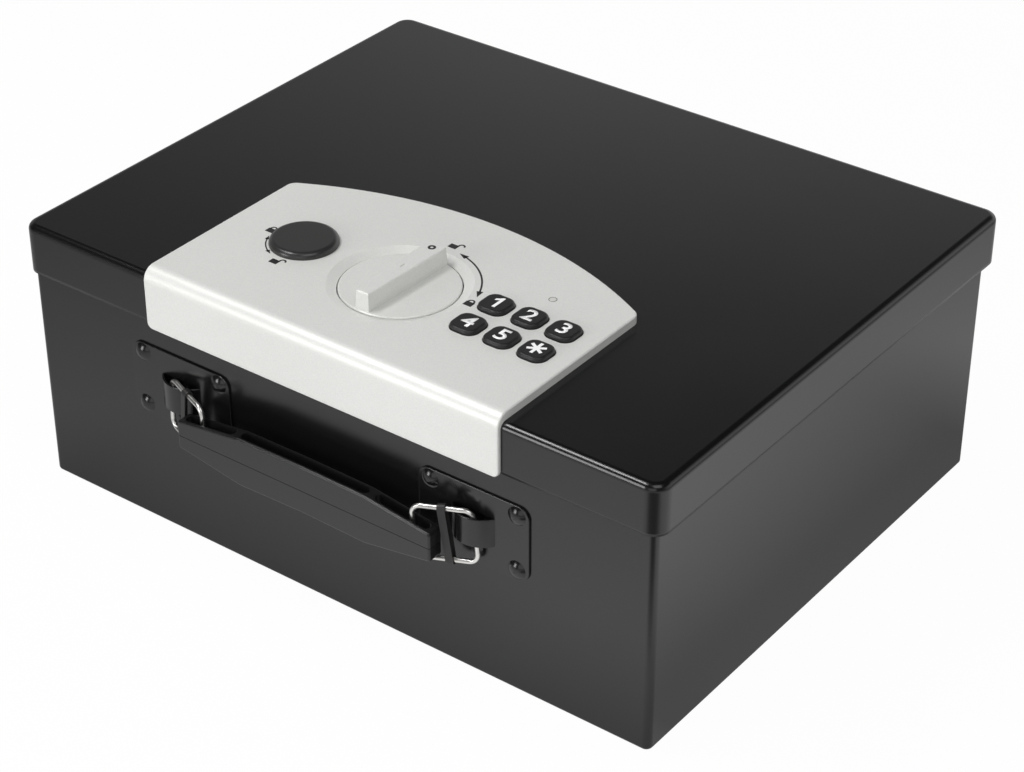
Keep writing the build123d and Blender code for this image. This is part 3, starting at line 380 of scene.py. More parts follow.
def roll_lower_edge(material, edge):
    tree = material.node_tree
    shader = tree.nodes["Principled BSDF"]
    grain = shader.inputs["Normal"].links[0].from_node
    coordinates = add_node(tree, "ShaderNodeTexCoord")
    split = add_node(tree, "ShaderNodeSeparateXYZ")
    join(tree, coordinates.outputs["Object"], split.inputs[0])
    below = ramp(tree, split.outputs["Z"], edge, edge + LID_EDGE_HEIGHT, 1.0, 0.0)
    roll = add_node(tree, "ShaderNodeBump", invert=True, Strength=1.0, Distance=LID_EDGE_ROLL)
    join(tree, calculate(tree, "MULTIPLY", below, below), roll.inputs["Height"])
    join(tree, grain.outputs["Normal"], roll.inputs["Normal"])
    join(tree, roll.outputs["Normal"], shader.inputs["Normal"])


lid_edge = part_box("lid_shell")[0].z
roll_lower_edge(lid_coat, lid_edge)
print("lid's lower edge at", round(lid_edge, 4))

# %% [markdown]
# The lock cover and knob are moulded in plastic and sprayed with silver lacquer. Its flakes are far too
# small to count, and the eye reads them as a soft, slightly warm grey. A real metal would mirror the
# dark studio, so the lacquer is only slightly metallic.

# %% Silver lacquer
LACQUER_LOOK = {
    "dark": (0.70, 0.705, 0.68),
    "light": (0.77, 0.775, 0.75),
    "spread": 0.05,
    "strength": 0.08,
    "depth": 0.02 * MM,
    "metallic": 0.15,
    "Size": 3400.0,
}
cover_lacquer = textured("cover_lacquer", metal_flake, roughness=0.42, **LACQUER_LOOK)
knob_lacquer = textured("knob_lacquer", metal_flake, roughness=0.36, **LACQUER_LOOK)
print("lacquers:", cover_lacquer.name, knob_lacquer.name)

# %% [markdown]
# Handle, ties, cap and lock housing are moulded plastics. Keys and domes are rubber, and the grey
# ring round the light is painted shade of its gap.
# One black for all of them would be simpler, but side by side their gloss tells them apart. So they
# share the mould's grain, and differ in how coarse it is and how much it scatters the light.

# %% Plastics and rubbers
handle_plastic = textured(
    "handle_plastic", mould_grain, dark=(0.0065, 0.0065, 0.0068), light=(0.009, 0.009, 0.0095),
    roughness=0.30, spread=0.06, strength=0.20, depth=0.03 * MM, Size=2600.0)
tie_plastic = textured(
    "tie_plastic", mould_grain, dark=(0.010, 0.009, 0.0085), light=(0.015, 0.0135, 0.013),
    roughness=0.50, spread=0.10, strength=0.3, depth=0.04 * MM, Size=1800.0)
cap_plastic = textured(
    "cap_plastic", mould_grain, dark=(0.022, 0.022, 0.0215), light=(0.028, 0.028, 0.0275),
    roughness=0.30, spread=0.07, strength=0.15, depth=0.03 * MM, Size=2400.0)
housing_plastic = textured(
    "housing_plastic", mould_grain, dark=(0.012, 0.012, 0.0125), light=(0.018, 0.018, 0.019),
    roughness=0.55, spread=0.08, strength=0.5, depth=0.06 * MM, Size=1500.0)
key_rubber = textured(
    "key_rubber", mould_grain, dark=(0.0065, 0.0065, 0.0065), light=(0.0095, 0.0095, 0.0095),
    roughness=0.46, spread=0.08, strength=0.20, depth=0.03 * MM, Size=2800.0)
dome_rubber = textured(
    "dome_rubber", mould_grain, dark=(0.36, 0.36, 0.37), light=(0.44, 0.44, 0.45),
    roughness=0.55, spread=0.08, strength=0.3, depth=0.03 * MM, Size=2000.0)
# Painted shade: the grey ring round the light stands for the shaded gap between lens and cover.
painted_gap_shade = textured(
    "painted_gap_shade", mould_grain, dark=(0.16, 0.16, 0.155), light=(0.22, 0.22, 0.215),
    roughness=0.50, spread=0.08, strength=0.1, depth=0.01 * MM, Size=2600.0)
print("finishes so far:", len(finishes))

# %% [markdown]
# The wire rings are nickel plated and mirror the white studio in soft bright lines. The lock's inner
# plates are zinc plated sheet, duller, with the rolling lines of the strip, and the lock's plug is
# brass. A light grey paint would look flat here, so all of them are full metals, and their colour tints
# what they mirror.

# %% Bare metals
ring_nickel = textured(
    "ring_nickel", drawn_lines, dark=(0.62, 0.61, 0.59), light=(0.74, 0.73, 0.71),
    roughness=0.28, spread=0.05, strength=0.03, depth=0.01 * MM, metallic=1.0)
zinc_plate = textured(
    "zinc_plate", drawn_lines, dark=(0.42, 0.42, 0.43), light=(0.58, 0.58, 0.57),
    roughness=0.38, spread=0.14, strength=0.15, depth=0.03 * MM, metallic=1.0)
bright_steel = textured(
    "bright_steel", drawn_lines, dark=(0.50, 0.50, 0.50), light=(0.64, 0.64, 0.63),
    roughness=0.24, spread=0.10, strength=0.10, depth=0.02 * MM, metallic=1.0)
contact_nickel = textured(
    "contact_nickel", drawn_lines, dark=(0.58, 0.57, 0.54), light=(0.68, 0.67, 0.64),
    roughness=0.22, spread=0.08, strength=0.10, depth=0.02 * MM, metallic=1.0)
plug_brass = textured(
    "plug_brass", drawn_lines, dark=(0.50, 0.36, 0.14), light=(0.64, 0.47, 0.20),
    roughness=0.28, spread=0.12, strength=0.12, depth=0.02 * MM, metallic=1.0)
print("finishes so far:", len(finishes))

# %% [markdown]
# The rest is small: the green mask of the boards, the film round the cells, the lens of the light, and
# two inks. Each could have an effect of its own, but at this size the plastic's grain does for all. The
# ink of the signs is nearly black, and that of the digits nearly white, so that both read clearly.

# %% Boards, cells, light and inks
board_mask = textured(
    "board_mask", mould_grain, dark=(0.010, 0.055, 0.025), light=(0.016, 0.085, 0.036),
    roughness=0.32, spread=0.10, strength=0.2, depth=0.03 * MM, Size=1600.0)
cell_film = textured(
    "cell_film", mould_grain, dark=(0.020, 0.020, 0.022), light=(0.032, 0.032, 0.034),
    roughness=0.25, spread=0.08, strength=0.1, depth=0.02 * MM, Size=900.0)
light_lens = textured(
    "light_lens", mould_grain, dark=(0.58, 0.575, 0.55), light=(0.66, 0.655, 0.63),
    roughness=0.22, spread=0.06, strength=0.1, depth=0.02 * MM, Size=1800.0)
mark_ink = textured(
    "mark_ink", mould_grain, dark=(0.012, 0.012, 0.012), light=(0.020, 0.020, 0.020),
    roughness=0.45, spread=0.08, strength=0.1, depth=0.01 * MM, Size=2600.0)
digit_ink = textured(
    "digit_ink", mould_grain, dark=(0.90, 0.90, 0.90), light=(0.96, 0.96, 0.96),
    roughness=0.45, spread=0.08, strength=0.1, depth=0.01 * MM, Size=2600.0)
print("finishes:", len(finishes))

# %% [markdown]
# The record gives each CAD node a material slot. Nodes could be dressed one by one, but many share a
# slot, so one table from slot to finish dresses them all.

# %% Dress the CAD nodes
FINISH_OF_SLOT = {
    "case_paint": case_coat,
    "lid_paint": lid_coat,
    "plate_paint": plate_coat,
    "rivet_paint": rivet_coat,
    "hinge_paint": plate_coat,
    "zinc_steel": zinc_plate,
    "bright_steel": bright_steel,
    "ring_wire": ring_nickel,
    "tie_band": tie_plastic,
    "handle_plastic": handle_plastic,
    "cover_plastic": cover_lacquer,
    "knob_plastic": knob_lacquer,
    "key_rubber": key_rubber,
    "dome_rubber": dome_rubber,
    "cap_plastic": cap_plastic,
    "plug_brass": plug_brass,
    "lens": light_lens,
    "circuit_board": board_mask,
    "housing_plastic": housing_plastic,
    "cell_jacket": cell_film,
    "contact_plate": contact_nickel,
}


def dress_nodes():
    for part in frame["record"]["subparts"]:
        piece = nodes[part["node"]]
        piece.data.materials.clear()
        piece.data.materials.append(FINISH_OF_SLOT[part["material_slot"]])


dress_nodes()

# %% [markdown]
# ## Printed marks
#
# Padlocks, arrows and digits are printed. They could be painted into the finish by a mask, but as thin
# flat shapes of a few hundredths of a millimetre they keep crisp edges. Their places are measured from
# the middle of the knob, of the cap or of their key, so these are read from the frame first.


# %% Places on the lock
def middle_of(node):
    """Middle of a node's box, seen from above."""
    low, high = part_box(node)
    return (low.x + high.x) / 2, (low.y + high.y) / 2


def top_of(node):
    """Height of the top of a node's box."""
    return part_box(node)[1].z


KNOB_X, KNOB_Y = middle_of("knob")
CAP_X, CAP_Y = middle_of("override_cap")
COVER_TOP = top_of("lock_cover")
BAR_TOP = top_of("knob")
print("knob at", round(KNOB_X, 4), round(KNOB_Y, 4))
print("cap at", round(CAP_X, 4), round(CAP_Y, 4))

# %% [markdown]
# A mark is made flat on the ground, thickened there, and lifted to its surface at the end. It could be
# built in place, but on the ground all its heights are zero and its lengths are plain to read. Then it
# rides on the body that carries it, so that it moves along when a joint does.


# %% Edit mode and selection
def start_edit():
    bpy.ops.object.mode_set(mode="EDIT")


def end_edit():
    bpy.ops.object.mode_set(mode="OBJECT")


def deselect_all():
    bpy.ops.object.select_all(action="DESELECT")


def empty_mesh():
    """New mesh object with nothing in it, left in edit mode. Returns the piece and its mesh."""
    deselect_all()
    bpy.ops.mesh.primitive_plane_add(size=1, location=(0, 0, 0))
    piece = bpy.context.object
    start_edit()
    mesh = bmesh.from_edit_mesh(piece.data)
    bmesh.ops.delete(mesh, geom=mesh.verts[:], context="VERTS")
    return piece, mesh


deselect_all()
print("selected pieces:", len(bpy.context.selected_objects))

# %% Thicken, lift, merge and settle
INK = 0.06 * MM
SINK = 0.02 * MM
SAME_POINT = 1e-7


def thicken(piece):
    """Extrudes a flat outline upwards into a thin closed solid, with its faces pointing outwards."""
    start_edit()
    bpy.ops.mesh.select_all(action="SELECT")
    bpy.ops.mesh.extrude_region_move(TRANSFORM_OT_translate={"value": (0, 0, INK)})
    bpy.ops.mesh.select_all(action="SELECT")
    bpy.ops.mesh.remove_doubles(threshold=SAME_POINT)
    bpy.ops.mesh.normals_make_consistent(inside=False)
    end_edit()
    return piece


def lay_on(piece, height):
    """Lifts a mark from the ground to its surface, sunk in by a hair."""
    piece.data.transform(Matrix.Translation((0, 0, height - SINK)))
    return piece


def merge(name, pieces):
    """Joins several small meshes into one named piece."""
    deselect_all()
    for piece in pieces:
        piece.select_set(True)
    bpy.context.view_layer.objects.active = pieces[0]
    bpy.ops.object.join()
    pieces[0].name = name
    return pieces[0]


def settle(piece, material, body):
    """Puts the piece's place into its mesh, dresses it and lets it ride on its body."""
    bpy.context.view_layer.update()
    piece.data.transform(piece.matrix_world)
    piece.matrix_world = Matrix.Identity(4)
    piece.data.materials.clear()
    piece.data.materials.append(material)
    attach(piece, body)
    return piece


print("ink is", round(INK / MM, 2), "mm thick, and sunk in by", round(SINK / MM, 2), "mm")

# %% [markdown]
# All signs are made of three shapes. A block is a plane scaled to size. An arc could be a bent block,
# but its width would change along the bend, so it is a short edge spun round a centre. Any other shape
# is a face inside an outline.


# %% Blocks, arcs and polygons of ink
def flat_block(x, y, width, depth):
    """Thin rectangle of ink, centred on x and y."""
    deselect_all()
    bpy.ops.mesh.primitive_plane_add(size=1, location=(x, y, 0))
    piece = bpy.context.object
    piece.scale = (width, depth, 1)
    bpy.ops.object.transform_apply(location=True, rotation=True, scale=True)
    return thicken(piece)


def flat_arc(x, y, radius, width, start, end, steps):
    """Thin band of ink along an arc, made by spinning a short edge."""
    piece, mesh = empty_mesh()
    ends = []
    for reach in (radius - width / 2, radius + width / 2):
        ends.append(mesh.verts.new((reach * math.cos(start), reach * math.sin(start), 0)))
    mesh.edges.new(ends)
    bmesh.update_edit_mesh(piece.data)
    bpy.ops.mesh.select_all(action="SELECT")
    bpy.ops.mesh.spin(steps=steps, angle=start - end, center=(0, 0, 0), axis=(0, 0, 1))
    end_edit()
    piece.data.transform(Matrix.Translation((x, y, 0)))
    return thicken(piece)


def flat_polygon(points):
    """Thin shape of ink inside a closed outline."""
    piece, mesh = empty_mesh()
    mesh.faces.new([mesh.verts.new((px, py, 0)) for px, py in points])
    bmesh.update_edit_mesh(piece.data)
    end_edit()
    return thicken(piece)


print("shapes of ink: block, arc and polygon")

# %% [markdown]
# A padlock sign is a block with a bow above it: half a circle on one or two feet. The bow of the open
# one swings out to the right and stands on one foot only. The sign could be one outline, but as blocks
# and an arc it has few numbers. The feet reach a little into the block, so no gap shows.

# %% Padlock signs
LOCK_WIDTH = 4.2 * MM
LOCK_HEIGHT = 3.2 * MM
BOW_WIDTH = 0.80 * MM
BOW_RADIUS = 1.30 * MM
BOW_STEPS = 12
CLOSED_BOW_LIFT = 0.2 * MM
CLOSED_FOOT = 0.6 * MM
OPEN_BOW_LIFT = 0.3 * MM
OPEN_FOOT = 1.0 * MM
OPEN_FOOT_DROP = 0.1 * MM


def open_bow(x, top):
    """Bow that stands on its left foot, at the right corner of the block."""
    bow_x = x + LOCK_WIDTH / 2 + BOW_RADIUS - BOW_WIDTH / 2
    arc = flat_arc(bow_x, top + OPEN_BOW_LIFT, BOW_RADIUS, BOW_WIDTH, 0.0, math.pi, BOW_STEPS)
    foot = flat_block(bow_x - BOW_RADIUS, top - OPEN_FOOT_DROP, BOW_WIDTH, OPEN_FOOT)
    return [arc, foot]


def closed_bow(x, top):
    """Bow that stands on both feet, in the middle of the block."""
    parts = [flat_arc(x, top + CLOSED_BOW_LIFT, BOW_RADIUS, BOW_WIDTH, 0.0, math.pi, BOW_STEPS)]
    for side in (-1, 1):
        parts.append(flat_block(x + side * BOW_RADIUS, top, BOW_WIDTH, CLOSED_FOOT))
    return parts


def padlock(name, x, y, bow):
    """Padlock sign whose block is centred on x and y. The bow is one of the two functions above."""
    block = flat_block(x, y, LOCK_WIDTH, LOCK_HEIGHT)
    return merge(name, [block] + bow(x, y + LOCK_HEIGHT / 2))


print("padlock block is", round(LOCK_WIDTH / MM, 1), "by", round(LOCK_HEIGHT / MM, 1), "mm")

# %% [markdown]
# A curved arrow with a head at both ends shows the way to turn. A straight arrow would be simpler, but
# it would not say that knob and plug turn. So its shaft is an arc round the knob or the cap, and each
# head is a triangle whose tip points along the arc.

# %% Curved arrows
HEAD_WIDTH_SHARE = 0.6
HEAD_BACK_SHARE = 0.3
ARROW_STEPS = 24


def arrow_head(x, y, direction, length):
    """Triangle of ink whose tip points along direction from its place."""
    along = Vector((math.cos(direction), math.sin(direction)))
    across = Vector((-along.y, along.x)) * length * HEAD_WIDTH_SHARE / 2
    base = Vector((x, y)) - along * length * HEAD_BACK_SHARE
    corners = [base + along * length, base + across, base - across]
    return flat_polygon([(corner.x, corner.y) for corner in corners])


def turn_arrow(name, x, y, radius, start, end, line, head):
    """Curved arrow with a head at both ends, between two angles in degrees."""
    first = math.radians(start)
    last = math.radians(end)
    parts = [flat_arc(x, y, radius, line, first, last, ARROW_STEPS)]
    for angle, way in ((first, -1), (last, 1)):
        head_x = x + radius * math.cos(angle)
        head_y = y + radius * math.sin(angle)
        parts.append(arrow_head(head_x, head_y, angle + way * math.pi / 2, head))
    return merge(name, parts)


print("arrow head's width over its length:", HEAD_WIDTH_SHARE)

# %% Marks on the cover
marks = [
    padlock("mark_knob_open", KNOB_X - 0.8 * MM, KNOB_Y + 36.9 * MM, bow=open_bow),
    padlock("mark_knob_closed", KNOB_X + 33.2 * MM, KNOB_Y + 3.6 * MM, bow=closed_bow),
    turn_arrow("mark_knob_arrow", KNOB_X, KNOB_Y, radius=34.0 * MM, start=22.0, end=76.0,
               line=0.80 * MM, head=4.8 * MM),
    padlock("mark_cap_closed", CAP_X - 18.3 * MM, CAP_Y - 0.6 * MM, bow=closed_bow),
    padlock("mark_cap_open", CAP_X + 0.2 * MM, CAP_Y - 19.5 * MM, bow=open_bow),
    turn_arrow("mark_cap_arrow", CAP_X, CAP_Y, radius=16.4 * MM, start=203.0, end=243.0,
               line=0.60 * MM, head=3.2 * MM),
]
for mark in marks:
    lay_on(mark, COVER_TOP)
    settle(mark, mark_ink, "lid")
print("marks on the cover:", len(marks))

# %% [markdown]
# A thin grey ring of painted shade runs round the small light, where the gap between lens and cover
# lies in shade. The bare joint would hardly show at this size, so its shade is a ring of its own, and
# the light reads as a lens let into the cover.

# %% Painted shade round the light
LIGHT_RADIUS = 1.6 * MM
GAP_SHADE_WIDTH = 0.28 * MM
GAP_SHADE_STEPS = 32
LIGHT_X, LIGHT_Y = middle_of("status_light")
gap_shade_ring = flat_arc(LIGHT_X, LIGHT_Y, LIGHT_RADIUS + GAP_SHADE_WIDTH / 2, GAP_SHADE_WIDTH, 0.0, 2 * math.pi, GAP_SHADE_STEPS)
gap_shade_ring.name = "light_gap_shade"
lay_on(gap_shade_ring, COVER_TOP)
settle(gap_shade_ring, painted_gap_shade, "lid")
print("seal round the light at", round(LIGHT_X, 4), round(LIGHT_Y, 4))

# %% [markdown]
# The white digits lie on the keys. They could all be drawn, but Blender's own face already has round,
# even digits. So each starts as text, is made bolder by the offset of its outline, and becomes a mesh,
# which is then centred and brought to its height.

# %% Digits from text
DIGIT_HEIGHT = 8.0 * MM
DIGIT_BOLD = 0.018
DIGIT_WIDE = 1.12
CURVE_STEPS = 6


def text_mesh(text):
    """Text turned into a flat mesh. Returns the piece."""
    deselect_all()
    bpy.ops.object.text_add(location=(0, 0, 0))
    piece = bpy.context.object
    piece.data.body = text
    piece.data.align_x = "CENTER"
    piece.data.align_y = "CENTER"
    piece.data.offset = DIGIT_BOLD
    piece.data.resolution_u = CURVE_STEPS
    bpy.ops.object.convert(target="MESH")
    return piece


def digit(name, text, x, y, z):
    piece = text_mesh(text)
    piece.name = name
    across = [vertex.co.x for vertex in piece.data.vertices]
    upwards = [vertex.co.y for vertex in piece.data.vertices]
    centre_x = (min(across) + max(across)) / 2
    centre_y = (min(upwards) + max(upwards)) / 2
    scale = DIGIT_HEIGHT / (max(upwards) - min(upwards))
    for vertex in piece.data.vertices:
        from_centre_x = vertex.co.x - centre_x
        from_centre_y = vertex.co.y - centre_y
        vertex.co = Vector((from_centre_x * scale * DIGIT_WIDE, from_centre_y * scale, 0))
    thicken(piece)
    piece.data.transform(Matrix.Translation((x, y, 0)))
    return lay_on(piece, z)


print("digits are", round(DIGIT_HEIGHT / MM, 1), "mm high")

# %% [markdown]
# That face gives the 1 no clear flag and has only a small star, so these two are drawn as outlines. The
# points of the 1 are shares of its height. The star's outline has two corners at each tip and one
# between two arms, all worked out from the reach and the half width of an arm.

# %% The 1 and the star
ONE_OUTLINE = [(0.02, -0.5), (0.20, -0.5), (0.20, 0.5), (0.06, 0.5), (-0.06, 0.36), (-0.24, 0.26),
               (-0.24, 0.10), (-0.08, 0.16), (0.02, 0.23)]
STAR_REACH = 4.1 * MM
STAR_ARM = 0.72 * MM
STAR_ARMS = 6


def figure_one(name, x, y, z):
    piece = flat_polygon([(x + px * DIGIT_HEIGHT, y + py * DIGIT_HEIGHT) for px, py in ONE_OUTLINE])
    piece.name = name
    return lay_on(piece, z)


def star(name, x, y, z):
    outline = []
    step = 2 * math.pi / STAR_ARMS
    for k in range(STAR_ARMS):
        angle = math.pi / 2 + step * k
        between = angle + step / 2
        along = Vector((math.cos(angle), math.sin(angle)))
        across = Vector((-along.y, along.x))
        for side in (-1, 1):
            corner = along * STAR_REACH + across * STAR_ARM * side
            outline.append((x + corner.x, y + corner.y))
        outline.append((x + 2 * STAR_ARM * math.cos(between), y + 2 * STAR_ARM * math.sin(between)))
    piece = flat_polygon(outline)
    piece.name = name
    return lay_on(piece, z)


print("corners of the 1:", len(ONE_OUTLINE), "and of the star:", 3 * STAR_ARMS)

# %% [markdown]
# Each print lies a little above the middle of its key, where the photograph has it, and rides on that
# key, so it goes down with it.

# %% Print the keys
PRINT_LIFT = 0.4 * MM
KEYS = ("key_1", "key_2", "key_3", "key_4", "key_5", "key_star")


def print_key(key):
    """Digit or star that lies on top of a key, a little above its middle."""
    x, y = middle_of(key)
    place = (x, y + PRINT_LIFT, top_of(key))
    name = "print_" + key
    if key == "key_star":
        return star(name, *place)
    if key == "key_1":
        return figure_one(name, *place)
    return digit(name, key[-1], *place)


for key in KEYS:
    settle(print_key(key), digit_ink, key)
print("keys printed:", len(KEYS))

# %% [markdown]
# The knob's bar has a small ring printed on its far end, which points at the padlock signs. It could
# lie on the cover like the other signs, but it is part of the pointer, so it rides on the knob and
# turns with it.

# %% Ring mark on the knob
RING_MARK_AHEAD = 21.4 * MM
RING_MARK_RADIUS = 1.25 * MM
RING_MARK_LINE = 1.10 * MM
RING_MARK_STEPS = 24
ring_mark = flat_arc(KNOB_X, KNOB_Y + RING_MARK_AHEAD, RING_MARK_RADIUS, RING_MARK_LINE,
                     0.0, 2 * math.pi, RING_MARK_STEPS)
ring_mark.name = "mark_knob_ring"
lay_on(ring_mark, BAR_TOP)
settle(ring_mark, mark_ink, "knob")
print("ring mark at", round(KNOB_X, 4), round(KNOB_Y + RING_MARK_AHEAD, 4))

# %% [markdown]
# ## Studio
#
# A satin black case shows mostly what it mirrors. Its lid mirrors a dark ceiling, and its front and
# side mirror the floor, which is brightest beside the near corner and falls away to the left. Boards
# and cloths could stand round the case, as in a photographer's studio, but each would show in other
# views. So light and shade are painted into the floor's glow for mirrored rays: a pool of light, a
# painted contact shade round the case, and a painted patch of shade before the near corner, which
# draws that corner's upright edge.

# %% What the case mirrors in the floor
POOL_PLACE = (0.24, -0.16, 0.0)
POOL_LIGHT = 1.22
POOL_NEAR = 0.15
POOL_FAR = 0.62
POOL_DARK = 0.35
# Painted contact shade: the floor glows darker close round the case.
CONTACT_SHADE_MIDDLE = (0.02, 0.02, 0.0)
CONTACT_SHADE_HALF_SIZE = (0.165, 0.128, 0.0)
CONTACT_SHADE_REACH = 0.08
CONTACT_SHADE_DARK = 0.42
# Painted patch of shade in the floor before the near corner, which that corner mirrors.
SHADE_PATCH_PLACE = (0.26, -0.31, 0.0)
SHADE_PATCH_NEAR = 0.08
SHADE_PATCH_FAR = 0.16
SHADE_PATCH_DARK = 0.08
NO_PLACE = (0.0, 0.0, 0.0)


def calculate_place(tree, operation, *values):
    """Node that does one sum with places."""
    node = add_node(tree, "ShaderNodeVectorMath", operation=operation)
    fill_inputs(tree, node, values)
    return node


def distance_outside(tree, place, middle, half_size):
    """Distance from a place to a box: zero inside it, and growing outside."""
    shifted = calculate_place(tree, "SUBTRACT", place, middle).outputs[0]
    folded = calculate_place(tree, "ABSOLUTE", shifted).outputs[0]
    outside = calculate_place(tree, "SUBTRACT", folded, half_size).outputs[0]
    clipped = calculate_place(tree, "MAXIMUM", outside, NO_PLACE).outputs[0]
    return calculate_place(tree, "LENGTH", clipped).outputs["Value"]


def mirrored_floor(tree):
    """Light of the floor as the case mirrors it: the pool of light, times the painted contact shade, times
    the painted patch of shade.
    """
    place = add_node(tree, "ShaderNodeTexCoord").outputs["Object"]
    from_pool = calculate_place(tree, "DISTANCE", place, POOL_PLACE).outputs["Value"]
    pool = ramp(tree, from_pool, POOL_NEAR, POOL_FAR, POOL_LIGHT, POOL_LIGHT * POOL_DARK)
    from_case = distance_outside(tree, place, CONTACT_SHADE_MIDDLE, CONTACT_SHADE_HALF_SIZE)
    contact_shade = ramp(tree, from_case, 0.0, CONTACT_SHADE_REACH, CONTACT_SHADE_DARK, 1.0)
    from_shade_patch = calculate_place(tree, "DISTANCE", place, SHADE_PATCH_PLACE).outputs["Value"]
    shade_patch = ramp(tree, from_shade_patch, SHADE_PATCH_NEAR, SHADE_PATCH_FAR, SHADE_PATCH_DARK, 1.0)
    return calculate(tree, "MULTIPLY", calculate(tree, "MULTIPLY", pool, contact_shade), shade_patch)


print("pool of light at", POOL_PLACE, "and card at", SHADE_PATCH_PLACE)

# %% [markdown]
# To the camera the floor is white paper that keeps a faint shadow. A floor lit to white by lamps would
# need so much light that the case turned grey. So it glows white for camera rays, with a small share of
# real paper for the shadow. Mirrored rays meet mostly the light described above, and all other rays
# meet the paper.

# %% Floor
FLOOR_HALF = 8.0
FLOOR_DROP = 0.2 * MM
PAPER_TONE = (0.82, 0.82, 0.82, 1)
WHITE = (1, 1, 1, 1)
FLOOR_WHITE_SHARE = 0.97
MIRRORED_SHARE = 0.85


def mix_shaders(tree, share, first, second):
    """Mixes two shaders: a share of 0 is the first, 1 the second."""
    node = add_node(tree, "ShaderNodeMixShader")
    fill_inputs(tree, node, (share, first, second))
    return node.outputs[0]


def seen_straight(tree, path):
    """1 for rays from the camera, also through glass, and 0 for all others."""
    return calculate(tree, "MAXIMUM", path.outputs["Is Camera Ray"], path.outputs["Is Transmission Ray"])


def make_floor_paper():
    material = bpy.data.materials.new("studio_floor")
    material.use_nodes = True
    tree = material.node_tree
    tree.nodes.clear()
    output = add_node(tree, "ShaderNodeOutputMaterial")
    paper = add_node(tree, "ShaderNodeBsdfDiffuse", Color=PAPER_TONE)
    white = add_node(tree, "ShaderNodeEmission", Color=WHITE, Strength=1.0)
    pool = add_node(tree, "ShaderNodeEmission", Color=WHITE)
    join(tree, mirrored_floor(tree), pool.inputs["Strength"])
    path = add_node(tree, "ShaderNodeLightPath")
    by_mirror = calculate(tree, "MULTIPLY", path.outputs["Is Glossy Ray"], MIRRORED_SHARE)
    by_camera = calculate(tree, "MULTIPLY", seen_straight(tree, path), FLOOR_WHITE_SHARE)
    mirrored = mix_shaders(tree, by_mirror, paper.outputs[0], pool.outputs[0])
    seen = mix_shaders(tree, by_camera, mirrored, white.outputs[0])
    join(tree, seen, output.inputs["Surface"])
    return material


def add_floor():
    deselect_all()
    bpy.ops.mesh.primitive_plane_add(size=2 * FLOOR_HALF, location=(0, 0, -FLOOR_DROP))
    floor = bpy.context.object
    floor.name = "floor"
    bpy.ops.object.transform_apply(location=True, rotation=True, scale=True)
    floor.data.materials.append(make_floor_paper())
    return floor


floor = add_floor()
print(floor.name, "half size", FLOOR_HALF)

# %% [markdown]
# The world is white to the camera. To mirrored rays it fades from a bright horizon to a dark ceiling,
# and it is darker at the front and in the left corner. All other rays meet one even fill light. A
# picture of a real studio could do this, but it would hold far more than this plain case mirrors. The
# limits below are parts of a ray's direction, from -1 to 1.

# %% World
HORIZON_LIGHT = 1.0
HORIZON_TO = 0.28
CEILING_LIGHT = 0.01
CEILING_FROM = 0.60
FRONT_SHARE = 0.10
FRONT_TO = -0.25
BACK_FROM = 0.45
LEFT_SHARE = 0.50
LEFT_TO = -0.66
RIGHT_FROM = -0.54
FILL_LIGHT = 0.38


def mirrored_world(tree):
    """Light of the world as the case mirrors it, by the direction of the ray."""
    coordinates = add_node(tree, "ShaderNodeTexCoord")
    split = add_node(tree, "ShaderNodeSeparateXYZ")
    join(tree, coordinates.outputs["Generated"], split.inputs[0])
    climb = ramp(tree, split.outputs["Z"], HORIZON_TO, CEILING_FROM, HORIZON_LIGHT, CEILING_LIGHT,
                 interpolation_type="SMOOTHSTEP")
    turn = ramp(tree, split.outputs["Y"], FRONT_TO, BACK_FROM, FRONT_SHARE, 1.0,
                interpolation_type="SMOOTHSTEP")
    corner = ramp(tree, split.outputs["X"], LEFT_TO, RIGHT_FROM, LEFT_SHARE, 1.0)
    return calculate(tree, "MULTIPLY", calculate(tree, "MULTIPLY", climb, turn), corner)


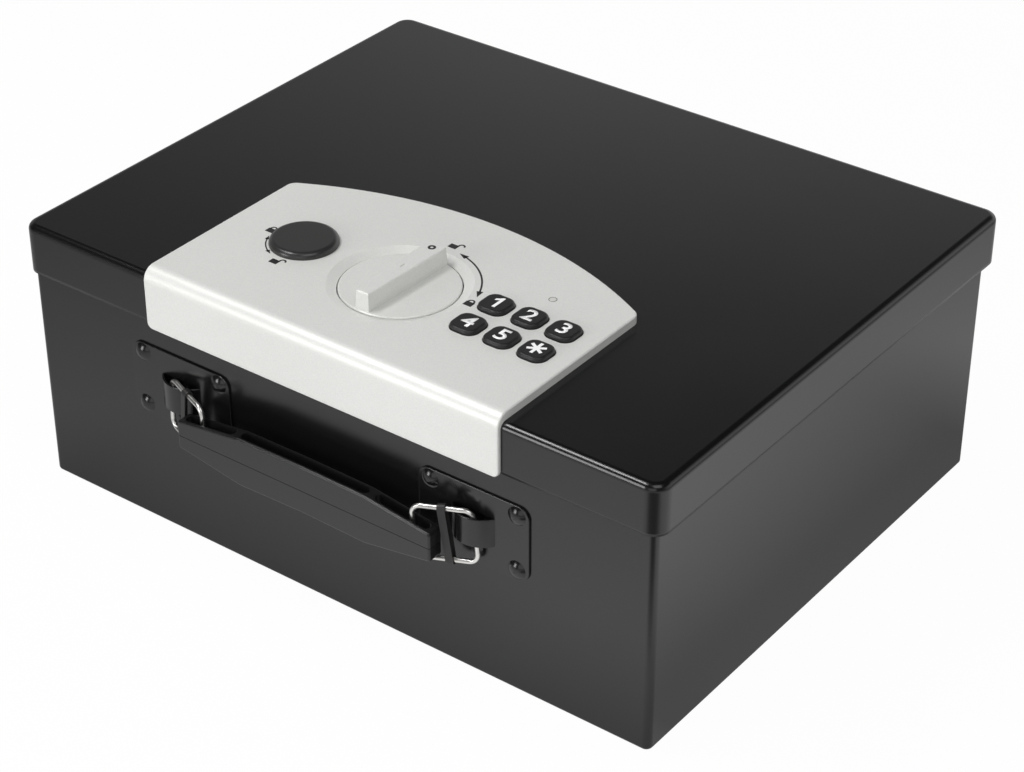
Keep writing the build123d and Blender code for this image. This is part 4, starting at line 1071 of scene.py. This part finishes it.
def make_world():
    world = bpy.data.worlds.new("studio")
    bpy.context.scene.world = world
    world.use_nodes = True
    tree = world.node_tree
    tree.nodes.clear()
    output = add_node(tree, "ShaderNodeOutputWorld")
    mirrored = add_node(tree, "ShaderNodeBackground", Color=WHITE)
    join(tree, mirrored_world(tree), mirrored.inputs["Strength"])
    fill = add_node(tree, "ShaderNodeBackground", Color=WHITE, Strength=FILL_LIGHT)
    white = add_node(tree, "ShaderNodeBackground", Color=WHITE, Strength=1.0)
    path = add_node(tree, "ShaderNodeLightPath")
    hidden = mix_shaders(tree, path.outputs["Is Glossy Ray"], fill.outputs[0], mirrored.outputs[0])
    seen = mix_shaders(tree, seen_straight(tree, path), hidden, white.outputs[0])
    join(tree, seen, output.inputs["Surface"])
    return world


print("world:", make_world().name)

# %% [markdown]
# Two small softboxes stand at the left: one high up, one low at the front. Each draws one of the two
# bright lines along the front edge of the lid. One large lamp would be simpler, but it would draw one
# broad line. Two larger and weaker ones at the right light the silver cover.

# %% Lamps
EDGE_AIM = (0.03, -0.13, 0.12)


def soft_lamp(name, place, aim, width, height, power):
    """Rectangular softbox that faces its aim."""
    data = bpy.data.lights.new(name, "AREA")
    data.shape = "RECTANGLE"
    data.size = width
    data.size_y = height
    data.energy = power
    lamp = bpy.data.objects.new(name, data)
    lamp.location = place
    lamp.rotation_euler = (Vector(aim) - Vector(place)).to_track_quat("-Z", "Y").to_euler()
    bpy.context.scene.collection.objects.link(lamp)


soft_lamp("roof_lamp", place=(-0.47, -0.42, 1.13), aim=EDGE_AIM, width=0.55, height=0.20, power=5.6)
soft_lamp("front_lamp", place=(-0.62, -1.42, 0.44), aim=EDGE_AIM, width=0.42, height=0.62, power=6.7)
soft_lamp("side_lamp", place=(0.55, -1.35, 0.50), aim=(0.05, -0.13, 0.10), width=1.0, height=0.8, power=2.5)
soft_lamp("fill_lamp", place=(0.62, -0.48, 1.20), aim=(0.0, -0.05, 0.10), width=0.8, height=0.8, power=4.3)
print("lamps:", len(bpy.data.lights))

# %% [markdown]
# ## View
#
# The Standard view shows a colour about as it is written, where a film-like view would bend it.

# %% View
bpy.context.scene.view_settings.view_transform = "Standard"
print("view:", bpy.context.scene.view_settings.view_transform)
